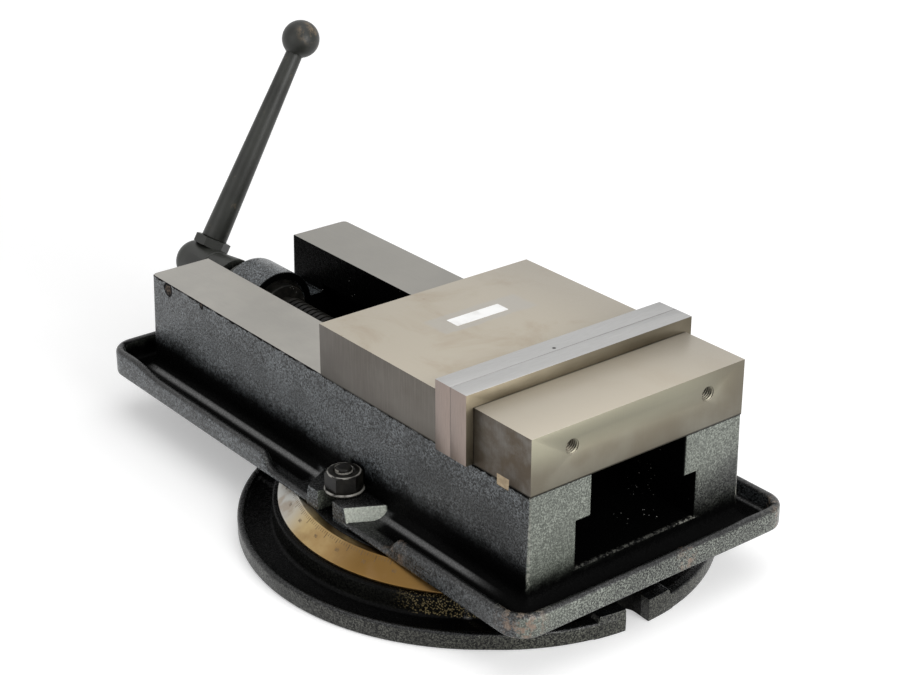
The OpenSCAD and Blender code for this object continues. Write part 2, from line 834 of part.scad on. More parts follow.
module thrust_washer_rear() {
    color(bright_steel) ring_x(recess_x, recess_x + thrust_washer_t, journal_r + bolt_fit, thrust_washer_r);
}

module thrust_washer_front() {
    color(bright_steel) ring_x(washer_front_x, flange_x, journal_r + running_fit, thrust_washer_r);
}

module thrust_cage() {
    cage_t = thrust_ball_r;
    color(brass_yellow) difference() {
        ring_x(balls_x - cage_t / 2, balls_x + cage_t / 2, cage_r0, cage_r1);
        at_thrust_balls() rotate([0, 90, 0])
            cylinder(r = thrust_ball_r + running_fit, h = cage_t + 2 * cut, center = true);
    }
}

module thrust_balls() {
    color(bright_steel) at_thrust_balls() sphere(thrust_ball_r);
}

// Movable jaw. The pocket's sloping front holds the half ball that pulls the jaw down

module pocket_side_view() {
    ledge = half_ball_stand * sqrt(2);
    ledge_foot = post_x1 + post_front_gap;
    polygon([
        [pocket_x0, way_height - tongue_depth - cut],
        [ledge_foot, way_height - tongue_depth - cut],
        [ledge_foot, slope_z0 + post_front_gap - ledge],
        [post_x1 + pocket_top - slope_z0 + ledge, pocket_top],
        [pocket_x0, pocket_top]
    ]);
}

module movable_jaw() {
    color(ground_steel) difference() {
        union() {
            block(jaw_x0, jaw_x1, jaw_width, way_height, way_height + jaw_height);
            block(jaw_x0 + tongue_inset, jaw_x1 - tongue_inset, slot_width - 2 * slide_fit,
                way_height - tongue_depth, way_height + cut);
        }
        across(pocket_width) pocket_side_view();
        translate([ball_seat_x, 0, ball_seat_z]) sphere(half_ball_r + running_fit);
        rod_x(jaw_x0 - cut, pocket_x0 + cut, jaw_set_r + running_fit, jaw_set_z);
        at_plate_screws(jaw_x1) rotate([0, -90, 0])
            translate([0, 0, -cut])
                cylinder(r = plate_screw_r + running_fit, h = plate_screw_depth + 2 * cut);
    }
}

module half_ball() {
    color(bright_steel) translate([ball_seat_x, 0, ball_seat_z]) rotate([0, 135, 0])
        rotate_extrude() intersection() {
            circle(half_ball_r);
            square(half_ball_r);
        }
}

module post_side_view() {
    polygon([
        [post_x0, nut_top - cut],
        [post_x1, nut_top - cut],
        [post_x1, slope_z0],
        [post_x1 + post_top - slope_z0, post_top],
        [post_x0, post_top]
    ]);
}

module jaw_nut() {
    color(ground_steel) difference() {
        union() {
            block(nut_x0, nut_x1, channel_width - 4 * slide_fit, nut_bottom, nut_top);
            block(nut_x0, nut_x1, nut_ridge_width, nut_bottom, channel_top + nut_ridge);
            across(nut_post_width) post_side_view();
        }
        rod_x(nut_x0 - cut, nut_x1 + cut, screw_r + running_fit, screw_z);
    }
}

module jaw_set_screw() {
    color(black_oxide) difference() {
        rod_x(jaw_x0 + cut, post_x0, jaw_set_r, jaw_set_z);
        translate([jaw_x0, 0, jaw_set_z]) rotate([0, 90, 0]) hexagon_bar(jaw_set_r, jaw_set_r + cut);
    }
}

// Screw and handle

module lead_screw() {
    hex_end = handle_x1 - hex_depth + cut;
    journal_end = collar_x0 - hub_gap / 2;
    color(black_oxide) {
        rod_x(flange_x, screw_front, screw_r, screw_z);
        rod_x(flange_x, flange_x + flange_t, flange_r, screw_z);
        rod_x(journal_end, flange_x, journal_r, screw_z);
        translate([hex_end, 0, screw_z]) rotate([0, 90, 0]) hexagon_bar(hex_flats, journal_end - hex_end);
    }
}

module retaining_collar() {
    color(black_oxide) difference() {
        ring_x(collar_x0, collar_x1, journal_r + running_fit, collar_r);
        translate([(collar_x0 + collar_x1) / 2, 0, screw_z])
            cylinder(r = collar_set_r + running_fit, h = collar_r + cut);
    }
}

module collar_set_screw() {
    length = collar_r - journal_r - running_fit - cut;
    color(bright_steel) translate([(collar_x0 + collar_x1) / 2, 0, screw_z + journal_r + running_fit])
        difference() {
            cylinder(r = collar_set_r, h = length);
            translate([0, 0, length / 2]) hexagon_bar(collar_set_r, length);
        }
}

module hub_section() {
    difference() {
        square([handle_hub_r, handle_hub_length]);
        translate([handle_hub_r - hub_round, -cut]) square([hub_round + cut, hub_round + cut]);
    }
    translate([handle_hub_r - hub_round, hub_round]) intersection() {
        circle(hub_round);
        translate([0, -hub_round]) square(hub_round);
    }
}

module handle_hub() {
    color(black_oxide) difference() {
        translate([handle_x0, 0, screw_z]) rotate([0, 90, 0]) rotate_extrude() hub_section();
        translate([handle_x1 - hex_depth, 0, screw_z]) rotate([0, 90, 0])
            hexagon_bar(hex_flats + 2 * running_fit, hex_depth + cut);
        along_lever() {
            cylinder(r = lever_stud_r + running_fit, h = lever_seat + cut);
            translate([0, 0, lever_seat]) cylinder(r = lever_nut_r + lever_nut_room, h = handle_hub_r);
        }
    }
}

module lever_lock_nut() {
    color(black_oxide) along_lever() translate([0, 0, lever_seat]) difference() {
        hexagon_bar(lever_nut_flats, lever_nut_height);
        translate([0, 0, -cut]) cylinder(r = lever_stud_r + running_fit, h = lever_nut_height + 2 * cut);
    }
}

module handle_lever() {
    color(black_oxide) along_lever() {
        translate([0, 0, cut]) cylinder(r = lever_stud_r, h = lever_foot);
        translate([0, 0, lever_foot])
            cylinder(r1 = lever_foot_r, r2 = lever_top_r, h = lever_top - lever_foot);
        translate([0, 0, lever_top - cut]) cylinder(r = ball_pin_r, h = ball_reach - lever_top + cut);
    }
}

module handle_ball() {
    color(black_oxide) along_lever() difference() {
        translate([0, 0, ball_reach]) sphere(ball_r);
        translate([0, 0, ball_reach - ball_r - cut])
            cylinder(r = lever_top_r + ball_mouth, h = lever_top - ball_reach + ball_r + cut);
        translate([0, 0, lever_top - cut])
            cylinder(r = ball_pin_r + running_fit, h = ball_reach - lever_top + 2 * cut);
    }
}

swivel_base();
graduated_ring();
pivot_pin();
drip_tray();
bed();
inner_ways();
screw_boss();
fixed_jaw();
fixed_jaw_keys();
fixed_jaw_bolts();
fixed_jaw_plate();
fixed_plate_screws();
clamp_bolts();
clamp_washers();
clamp_nut_near();
clamp_nut_far();
screw_bush();
thrust_washer_rear();
thrust_cage();
thrust_balls();
movable_jaw();
movable_jaw_plate();
movable_plate_screws();
jaw_nut();
half_ball();
jaw_set_screw();
lead_screw();
thrust_washer_front();
retaining_collar();
collar_set_screw();
handle_hub();
lever_lock_nut();
handle_lever();
handle_ball();
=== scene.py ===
"""Looks of a swivel machine vise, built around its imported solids.

Sizes are in millimetres, which MM turns into metres for the meshes and materials.
"""

import json
from math import atan2, cos, pi, radians, sin, sqrt, tan

import bmesh
import bpy
from mathutils import Matrix, Vector, noise


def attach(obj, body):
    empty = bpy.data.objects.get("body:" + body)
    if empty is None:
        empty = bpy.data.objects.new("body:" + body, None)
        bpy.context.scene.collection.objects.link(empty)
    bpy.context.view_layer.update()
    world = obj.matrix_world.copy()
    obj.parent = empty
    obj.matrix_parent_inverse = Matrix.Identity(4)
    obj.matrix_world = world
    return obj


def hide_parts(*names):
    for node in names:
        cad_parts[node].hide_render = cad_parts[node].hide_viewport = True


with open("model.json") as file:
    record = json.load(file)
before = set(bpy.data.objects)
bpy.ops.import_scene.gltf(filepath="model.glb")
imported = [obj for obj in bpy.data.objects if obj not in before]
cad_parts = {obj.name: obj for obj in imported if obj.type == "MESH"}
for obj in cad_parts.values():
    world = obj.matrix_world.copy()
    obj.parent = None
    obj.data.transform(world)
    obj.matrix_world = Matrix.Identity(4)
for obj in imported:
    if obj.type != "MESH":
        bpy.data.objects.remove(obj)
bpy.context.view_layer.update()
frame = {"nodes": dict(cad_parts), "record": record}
scene = bpy.context.scene
MM = 0.001

# Main sizes, those of the solids or close to them
WAYS_Z = 120.5
BED_X0, BED_X1, BED_HALF = -296.5, 165.5, 94.25
TRAY_X0, TRAY_X1, TRAY_HALF, TRAY_CORNER = -324.5, 191.5, 124.0, 20.0
TRAY_Z0, TRAY_FLOOR = 36.0, 41.0
LIP, LIP_TOP, REAR_LIP_TOP, FOOT = 7.0, 53.5, 58.0, 4.0
CHANNEL_X0, CHANNEL_HALF, CHANNEL_Z0, CHANNEL_Z1 = -256.5, 54.25, 55.0, 89.5
SLOT_HALF, SLOT_Z0 = 41.75, 82.0
SCREW_Z = 79.0
BASE_R, RIM, LUG_R, LUG_SHIFT = 177.0, 5.0, 160.0, 21.0
PAD_TOP, PAD_HALF = 17.0, 30.0
BASE_TURN = radians(-3.2)
RING_BORE, RING_TOP, RING_TOP_Z = 128.05, 134.0, 35.7
RING_SLOPE = atan2(11.2, 13.0)
BOLT_X, BOLT_Y = -18.5, 107.0
EAR_TOP, NUT_Z0, NUT_Z1, STUD_TOP = 51.5, 54.0, 66.5, 69.5
BOSS_X0, BOSS_X1, BOSS_R = -301.5, -256.6, 30.5
COLLAR_X0, COLLAR_X1 = -314.8, -301.8
HUB_X0, HUB_X1, SOCKET_X = -399.8, -325.8, -357.8
LEVER_X, LEVER_LEAN = -375.3, radians(31.1)
LEVER_SEAT, LEVER_FOOT, LEVER_END = 16.0, 24.0, 195.25
BALL_REACH, BALL_R = 209.5, 16.0
ALONG_X = Matrix.Rotation(radians(90), 4, "Y")
AT_SCREW = Matrix.Translation((0, 0, SCREW_Z)) @ ALONG_X

# Sizes of the dressed bed alone
BED_CORNERS = {"rear": 4.5, "front": 2.0}
DRAFT = 0.03
COVE = 12.0
OVER_WAYS = 123.0

# Worn places of the paint: rubbed spots with their full and outer radius, and chips with their radius
RUBBED = ((186, -118, 45, 7, 23), (187, 119, 46, 4, 20), (191, 22, 45, 2, 12), (60, -124, 45, 2, 18))
CHIPS = ((-271, -94, 115.5, 5.2), (-222, -94, 118.8, 1.9), (-240, 94, 118, 4.0))
PITCH_BLACK = (0.001, 0.001, 0.001)


# Shapes

def link(name, mesh):
    obj = bpy.data.objects.new(name, mesh)
    scene.collection.objects.link(obj)
    return obj


def to_mesh(bm, mesh):
    bm.to_mesh(mesh)
    bm.free()
    return mesh


def closed_mesh(name, points, faces):
    """An object from points in millimetres, with its doubles merged and its faces outwards."""
    bm = bmesh.new()
    corners = [bm.verts.new((x * MM, y * MM, z * MM)) for x, y, z in points]
    for face in faces:
        bm.faces.new([corners[i] for i in face])
    bmesh.ops.remove_doubles(bm, verts=bm.verts, dist=1e-7)
    bmesh.ops.dissolve_degenerate(bm, edges=bm.edges, dist=1e-7)
    bmesh.ops.recalc_face_normals(bm, faces=bm.faces)
    return link(name, to_mesh(bm, bpy.data.meshes.new(name)))


def loft(name, loops, joined=False, capped=True):
    """Quads between loops of points. The last loop can join the first, or both ends can be capped."""
    count = len(loops[0])
    points = [p for loop in loops for p in loop]
    faces = []
    for i in range(len(loops) if joined else len(loops) - 1):
        a, b = i * count, (i + 1) % len(loops) * count
        for k in range(count):
            n = (k + 1) % count
            faces.append((a + k, a + n, b + n, b + k))
    if capped and not joined:
        faces.append(tuple(reversed(range(count))))
        faces.append(tuple(range(len(points) - count, len(points))))
    return closed_mesh(name, points, faces)


def turned(name, outline, place=Matrix(), steps=96, joined=False):
    """A turned piece. Its outline holds radius and height, from axis to axis or all the way round."""
    loops = []
    for radius, height in outline:
        loop = []
        for k in range(steps):
            angle = 2 * pi * k / steps
            loop.append(place @ Vector((radius * cos(angle), radius * sin(angle), height)))
        loops.append(loop)
    return loft(name, loops, joined=joined, capped=False)


def rod(name, radius, low, high, place=Matrix(), steps=96):
    """A round tool with flat ends."""
    return turned(name, [(0, low), (radius, low), (radius, high), (0, high)], place, steps)


def rounded(corners, steps=4):
    """An outline whose corners, each with its own radius, are turned into arcs."""
    outline = []
    for i, (x, y, radius) in enumerate(corners):
        corner = Vector((x, y))
        if radius <= 0:
            outline.append((x, y))
            continue
        before = Vector(corners[i - 1][:2]) - corner
        after = Vector(corners[(i + 1) % len(corners)][:2]) - corner
        half = before.angle(after) / 2
        reach = min(radius / tan(half), 0.499 * before.length, 0.499 * after.length)
        bend = reach * tan(half)
        start = corner + before.normalized() * reach
        centre = corner + (before.normalized() + after.normalized()).normalized() * bend / sin(half)
        end = corner + after.normalized() * reach
        first = atan2(start.y - centre.y, start.x - centre.x)
        swing = atan2(end.y - centre.y, end.x - centre.x) - first
        swing = (swing + pi) % (2 * pi) - pi
        for k in range(steps + 1):
            angle = first + swing * k / steps
            outline.append((centre.x + bend * cos(angle), centre.y + bend * sin(angle)))
    return outline


def arc(x, y, radius, start, end, steps):
    """Points on an arc round a centre, with its angles in degrees."""
    points = []
    for k in range(steps + 1):
        angle = radians(start + (end - start) * k / steps)
        points.append((x + radius * cos(angle), y + radius * sin(angle)))
    return points


def quarter(steps):
    """Angles from 0 to 90 degrees, with both ends."""
    return [pi / 2 * k / steps for k in range(steps + 1)]


def hexagon(flats):
    """A hexagon of that width across its flats."""
    return arc(0, 0, flats / 2 / cos(radians(30)), 0, 300, 5)


def rectangle(x0, y0, x1, y1):
    return [(x0, y0), (x1, y0), (x1, y1), (x0, y1)]


def at_bolt(side):
    """The place of a clamp bolt, on the near side for -1 and the far side for 1."""
    return Matrix.Translation((BOLT_X, BOLT_Y * side, 0))


def prism(name, outline, low, high, place=Matrix(), mouth=0.0):
    """An outline swept from low to high. A mouth widens its upper end by that much, at 45 degrees."""
    def level(shape, z):
        return [place @ Vector((x, y, z)) for x, y in shape]

    loops = [level(outline, low)]
    if mouth:
        loops.append(level(outline, high - mouth))
        loops.append(level(grown(outline, mouth), high))
    else:
        loops.append(level(outline, high))
    return loft(name, loops)


def grown(outline, by):
    """The outline moved outwards by a distance, whichever way round it runs."""
    area = sum(a[0] * b[1] - b[0] * a[1] for a, b in zip(outline, outline[1:] + outline[:1]))
    side = by if area > 0 else -by
    moved = []
    for i, point in enumerate(outline):
        p = Vector(point)
        a = (p - Vector(outline[i - 1])).normalized()
        b = (Vector(outline[(i + 1) % len(outline)]) - p).normalized()
        na, nb = Vector((a.y, -a.x)), Vector((b.y, -b.x))
        mitre = (na + nb) / max(1 + na.dot(nb), 0.2)
        moved.append(tuple(p + mitre * side))
    return moved


def waver(depth, *place):
    """A smooth random depth of up to that much, for the unevenness of a casting."""
    return depth * (0.5 + 0.5 * noise.noise(Vector(place)))


def settle(obj):
    """Turns the object and its modifiers into a plain mesh."""
    graph = bpy.context.evaluated_depsgraph_get()
    mesh = bpy.data.meshes.new_from_object(obj.evaluated_get(graph))
    obj.modifiers.clear()
    obj.data = mesh
    return obj


def carve(obj, tool, how="DIFFERENCE"):
    """Cuts the tool out of the object, or joins or keeps the common part, and removes the tool."""
    cut = obj.modifiers.new("carve", "BOOLEAN")
    cut.object, cut.operation, cut.solver = tool, how, "EXACT"
    settle(obj)
    bpy.data.objects.remove(tool)
    return obj


def join(name, objects):
    """One object from several."""
    bm = bmesh.new()
    for obj in objects:
        bm.from_mesh(obj.data)
        bpy.data.objects.remove(obj)
    return link(name, to_mesh(bm, bpy.data.meshes.new(name)))


def eased(obj, width, angle=40):
    """Breaks the edges of an object that are sharper than an angle."""
    bevel = obj.modifiers.new("ease", "BEVEL")
    bevel.width, bevel.segments, bevel.limit_method = width * MM, 2, "ANGLE"
    bevel.angle_limit, bevel.use_clamp_overlap = radians(angle), True
    return settle(obj)


def from_solid(node, name, width):
    """A copy of a solid with its flat faces merged and its edges broken."""
    mesh = frame["nodes"][node].data.copy()
    bm = bmesh.new()
    bm.from_mesh(mesh)
    bmesh.ops.remove_doubles(bm, verts=bm.verts, dist=1e-6)
    bmesh.ops.dissolve_limit(bm, angle_limit=radians(0.5), verts=bm.verts, edges=bm.edges)
    to_mesh(bm, mesh)
    mesh.materials.clear()
    return eased(link(name, mesh), width)


def dress(obj, body, nodes, slot, *finishes):
    """Gives a piece its slot's finish or others, smooth shading, a body, and the solids it stands for."""
    obj.data.materials.clear()
    for finish in finishes or [BY_SLOT[slot]]:
        obj.data.materials.append(finish)
    obj.data.polygons.foreach_set("use_smooth", [True] * len(obj.data.polygons))
    obj.data.set_sharp_from_angle(angle=radians(38))
    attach(obj, body)
    if nodes:
        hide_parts(*nodes)


# Finishes

class Nodes:
    """Nodes in a tree, whose sockets are linked to others or set to values."""

    def __init__(self, tree):
        self.tree = tree

    def feed(self, socket, value):
        if isinstance(value, bpy.types.NodeSocket):
            self.tree.links.new(value, socket)
        else:
            socket.default_value = value

    def add(self, kind, sockets=None, **settings):
        """A new node's outputs."""
        node = self.tree.nodes.new(kind)
        for key, value in settings.items():
            setattr(node, key, value)
        for key, value in (sockets or {}).items():
            self.feed(node.inputs[key], value)
        return node.outputs

    def sums(self, operation, a, b=0.0):
        return self.add("ShaderNodeMath", {0: a, 1: b}, operation=operation)[0]

    def chain(self, operation, values):
        result = values[0]
        for value in values[1:]:
            result = self.sums(operation, result, value)
        return result

    def times(self, *values):
        return self.chain("MULTIPLY", values)

    def plus(self, *values):
        return self.chain("ADD", values)

    def most(self, *values):
        return self.chain("MAXIMUM", values)

    def seen(self):
        """1 for rays from the camera, mirrors and glass, and 0 for those that only carry light."""
        ray = self.add("ShaderNodeLightPath")
        return self.most(ray["Is Camera Ray"], ray["Is Glossy Ray"], ray["Is Transmission Ray"])


class Finish(Nodes):
    """A material that is built node by node, on Object coordinates."""

    def __init__(self, name):
        self.material = bpy.data.materials.new(name)
        self.material.use_nodes = True
        super().__init__(self.material.node_tree)
        self.shader = self.tree.nodes["Principled BSDF"].inputs
        place = self.add("ShaderNodeTexCoord")
        self.coords, self.facing = place["Object"], place["Normal"]

    def grain(self, scale, detail=2.0, roughness=0.5, vector=None, distortion=0.0):
        return self.add("ShaderNodeTexNoise", {
            "Vector": vector or self.coords, "Scale": scale, "Detail": detail,
            "Roughness": roughness, "Distortion": distortion})[0]

    def cells(self, scale):
        return self.add("ShaderNodeTexVoronoi", {"Vector": self.coords, "Scale": scale})[0]

    def ramp(self, value, low, high):
        return self.add("ShaderNodeMapRange", {"Value": value, "From Min": low, "From Max": high},
                        interpolation_type="SMOOTHSTEP")[0]

    def where(self, *rows):
        """A product of shares. A length with two marks in millimetres goes from 0 to 1 between them."""
        return self.times(*(self.ramp(row[0], row[1] * MM, row[2] * MM) if isinstance(row, tuple) else row
                            for row in rows))

    def band(self, length, middle, gone, full):
        """1 close to a middle length, and 0 away from it, in millimetres."""
        return self.where((self.size(self.plus(length, -middle * MM)), gone, full))

    def near(self, x, y, z, full, gone):
        """1 within the full radius of a point, and 0 beyond the other."""
        return self.where((self.away(x, y, z), gone, full))

    def rest(self, value):
        """What is missing from 1."""
        return self.sums("SUBTRACT", 1.0, value)

    def size(self, value):
        """The value without its sign."""
        return self.sums("ABSOLUTE", value)

    def varied(self, base, share, more):
        """A base value, and up to that much more where the share is high."""
        return self.plus(base, self.times(share, more))

    def blend(self, share, a, b):
        def colour(value):
            return value if isinstance(value, bpy.types.NodeSocket) else (*value, 1.0)

        return self.add("ShaderNodeMix", {0: share, 6: colour(a), 7: colour(b)}, data_type="RGBA")[2]

    def part(self, vector, axis):
        return self.add("ShaderNodeSeparateXYZ", {0: vector})[axis]

    def stretched(self, x, y, z):
        return self.add("ShaderNodeMapping", {"Vector": self.coords, "Scale": (x, y, z)})[0]

    def vectors(self, operation, a, b=(0.0, 0.0, 0.0)):
        return self.add("ShaderNodeVectorMath", {0: a, 1: b}, operation=operation)

    def flattened(self):
        """The place on the surface with its height left out."""
        return self.vectors("MULTIPLY", self.coords, (1.0, 1.0, 0.0))[0]

    def length(self, vector):
        return self.vectors("LENGTH", vector)["Value"]

    def away(self, x, y, z):
        """Distance from a point that is given in millimetres."""
        return self.vectors("DISTANCE", self.coords, (x * MM, y * MM, z * MM))["Value"]

    def bump(self, height, strength, depth):
        sockets = {"Height": height, "Strength": strength, "Distance": depth * MM}
        return self.add("ShaderNodeBump", sockets)[0]

    def end(self, colour, roughness, normal=None, metallic=0.0, **others):
        plain = isinstance(colour, tuple)
        self.feed(self.shader["Base Color"], (*colour, 1.0) if plain else colour)
        self.feed(self.shader["Roughness"], roughness)
        self.feed(self.shader["Metallic"], metallic)
        if normal:
            self.feed(self.shader["Normal"], normal)
        for key, value in others.items():
            self.feed(self.shader[key], value)
        return self.material


def cast_paint_finish():
    """Glossy black paint over a coarse sand casting, chipped at the ways and rubbed at the tray's edge."""
    f = Finish("cast_paint")
    x, y, z = (f.part(f.coords, axis) for axis in range(3))
    across = f.size(y)
    from_ear = f.size(f.plus(x, -BOLT_X * MM))
    radius = f.length(f.flattened())
    to_front = f.part(f.facing, 0)
    front_face = f.ramp(to_front, 0.5, 0.75)
    not_front = f.rest(front_face)
    on_boss = f.where((x, -256.5, -257.5), (across, 40.5, 40), (z, 81.2, 81.7))
    upright = f.most(f.ramp(f.size(f.part(f.facing, 2)), 0.65, 0.25), on_boss)
    grit = f.grain(820, 4, 0.8)
    lumps = f.grain(280, 2, 0.5)
    swells = f.grain(60, 2, 0.5)

    # Painted shade: the tray's floor, the channel, the slot beside the boss, and the base below the tray
    # are painted near black with little gloss
    ragged = f.times(f.plus(f.grain(120, 4, 0.7), -0.5), 12 * MM)
    above = f.plus(z, ragged, f.times(not_front, -11 * MM))
    off_ear = f.most(f.where((from_ear, 38, 47)), f.where((across, 98.5, 97)))
    in_tray = f.where((across, 114.2, 112), (x, 187, 184.5), (x, -320, -317.5), (above, 70, 50),
                      (z, 39.5, 40.5), off_ear)
    in_channel = f.where((across, 56, 55.1), (x, 165, 164), (x, -257.5, -256.8), (z, 53.5, 54.5))
    rear_slot = f.where(f.band(across, 41.8, 1, 0.4), (z, 83, 83.5), (x, -296.8, -296))
    on_base = f.where((z, 36.2, 35.6))
    in_gutter = f.where(on_base, (radius, 172.7, 171.9), 0.85)
    painted_shade = f.most(in_gutter, in_tray, in_channel, rear_slot)

    # Painted glints: the sand grains' speckle is painted as caught light, green on the front and blue on
    # the sides, on upright faces and the boss's top only
    bright = f.blend(front_face, (0.166, 0.186, 0.2), (0.2, 0.219, 0.184))
    slant = f.plus(z, f.times(y, -0.28))
    # Painted shade: the speckle darkens towards the foot of the bed's front faces
    front_foot_shade = f.where(front_face, (slant, 82, 50), (z, 40.5, 41.2), (x, 172, 168))
    bright = f.blend(f.times(front_foot_shade, 0.85), bright, (0.02, 0.021, 0.018))
    # Painted shade: the side walls' speckle darkens low down and towards the front
    low_wall_shade = f.where((x, -60, 130), not_front, (z, 125, 85))
    bright = f.blend(f.times(low_wall_shade, 0.62), bright, (0.03, 0.03, 0.028))
    # Painted shade: the base's speckle is darker
    bright = f.blend(f.times(on_base, 0.8), bright, (0.068, 0.066, 0.046))
    patchy = f.varied(0.65, f.ramp(f.grain(34, 3, 0.6), 0.35, 0.65), 0.35)
    grains = f.times(f.ramp(grit, 0.44, 0.62), patchy)
    # Painted light: the pits are lighter high on the front faces
    lit_front = f.where(front_face, upright, (slant, 50, 85), (z, 36.2, 36.8))
    pits = f.blend(lit_front, (0.002, 0.0022, 0.0023), (0.058, 0.064, 0.054))
    colour = f.blend(f.times(grains, upright), pits, bright)

    # Painted highlight: the clamp ears' flanks are painted bright as glittering light. Rubbed corners, and
    # chips and a dark line along the ways
    # Painted highlight on the ear flanks
    flank = f.where((x, BOLT_X + 11, BOLT_X + 13), (from_ear, 52, 48), f.ramp(to_front, 0.5, 0.7),
                    (across, 93, 96), (z, 38.5, 40.5))
    flank = f.times(flank, f.varied(0.55, f.ramp(grit, 0.4, 0.6), 0.45))
    colour = f.blend(flank, colour, (0.5, 0.53, 0.465))
    rub = f.most(*(f.near(*place) for place in RUBBED))
    rub = f.times(rub, f.ramp(f.grain(190, 4, 0.7), 0.47, 0.6))
    colour = f.blend(rub, colour, (0.16, 0.115, 0.085))
    # Painted highlight: a glossier band low in the tray's cove stands in for a highlight there, and is
    # kept out of the painted shade's dulling
    highlight_band = f.where(f.band(across, 101.4, 3.3, 0.4), (z, 45.5, 44.5), (x, 155, 100), (x, -305, -280))
    dull = f.times(painted_shade, f.rest(highlight_band))
    wander = f.times(f.plus(f.grain(160, 3, 0.6), -0.5), 5 * MM)
    bare = f.blend(f.ramp(f.grain(500, 3), 0.42, 0.58), (0.015, 0.012, 0.01), (0.11, 0.085, 0.066))
    for *place, size in CHIPS:
        away = f.plus(f.away(*place), wander)
        edge = f.where((away, size + 1.0, size + 0.6))
        dull = f.most(dull, edge)
        colour = f.blend(edge, colour, PITCH_BLACK)
        colour = f.blend(f.where((away, size - 0.9, size - 1.3)), colour, bare)
    line = f.where((f.plus(z, wander), 119, 119.5), (across, 92.5, 93.5),
                   f.ramp(f.grain(75, 3, 0.65), 0.40, 0.50))
    dull = f.most(dull, line)
    colour = f.blend(line, colour, PITCH_BLACK)

    # Bright flakes on the channel's sill and on the bed's front corners
    sill = f.where((x, 162.5, 164.5), (x, 169, 167), (across, 57, 55.5), f.band(z, 54.5, 1.2, 0.5),
                   f.varied(0.22, f.where((y, 25, 50)), 0.6))
    corner = f.where((x, 163.8, 165.2), (across, 92.6, 94), (z, 50, 60))
    flakes = f.times(f.most(sill, corner), f.ramp(f.grain(380, 3, 0.7), 0.45, 0.6))
    # Painted shade: the dark places are painted near black, except where flakes show
    colour = f.blend(f.times(painted_shade, f.rest(flakes)), colour, (0.0012, 0.0012, 0.0012))
    colour = f.blend(flakes, colour, (0.2, 0.2, 0.175))

    # Painted glints: bright specks of caught light on swarf in the channel, and golden glints on the
    # base's hub
    glints = f.times(in_channel, f.ramp(f.cells(330), 0.16, 0.08), f.ramp(f.grain(48, 2), 0.6, 0.66))
    colour = f.blend(glints, colour, (0.5, 0.5, 0.47))
    # Painted glints: golden specks on the base's hub
    hub_glints = f.where(on_base, f.ramp(f.cells(700), 0.46, 0.26), f.near(103, -109, 16, 12, 44),
                   (radius, 153, 152), (z, 8.5, 9.5))
    colour = f.blend(hub_glints, colour, (0.21, 0.168, 0.085))

    height = f.plus(f.times(grit, 0.55), f.times(lumps, 0.45), f.times(swells, 0.5))
    rough = f.varied(0.19, f.grain(330, 2, 0.5), 0.16)
    sheen = f.plus(f.varied(0.28, grains, 0.36), f.plus(f.times(on_base, -0.08), f.times(highlight_band, 0.35)))
    gloss = f.varied(1.08, sheen, f.rest(dull))
    return f.end(colour, rough, f.bump(height, 1.0, 0.5), IOR=gloss)


def ways_finish():
    """Ground tops of the ways, with a ragged line of paint along their outer edges."""
    f = Finish("ground_ways")
    y = f.part(f.coords, 1)
    lines = f.grain(60, 3, 0.6, f.stretched(1, 60, 1))
    cloud = f.grain(14, 4, 0.6)
    colour = f.blend(f.ramp(cloud, 0.3, 0.75), (0.33, 0.318, 0.292), (0.395, 0.378, 0.342))
    colour = f.blend(f.times(f.ramp(lines, 0.5, 0.7), 0.25), colour, (0.30, 0.29, 0.27))
    # Painted shade: the far way is darker than the near one
    colour = f.blend(f.where((y, 0, 60), 0.6), colour, (0.24, 0.232, 0.21))
    ragged = f.varied(f.size(y), f.grain(230, 3, 0.6), 1.6 * MM)
    colour = f.blend(f.where((ragged, 94.7, 95)), colour, (0.02, 0.02, 0.018))
    rough = f.varied(0.36, lines, 0.14)
    return f.end(colour, rough, f.bump(lines, 0.12, 0.1), metallic=1.0)


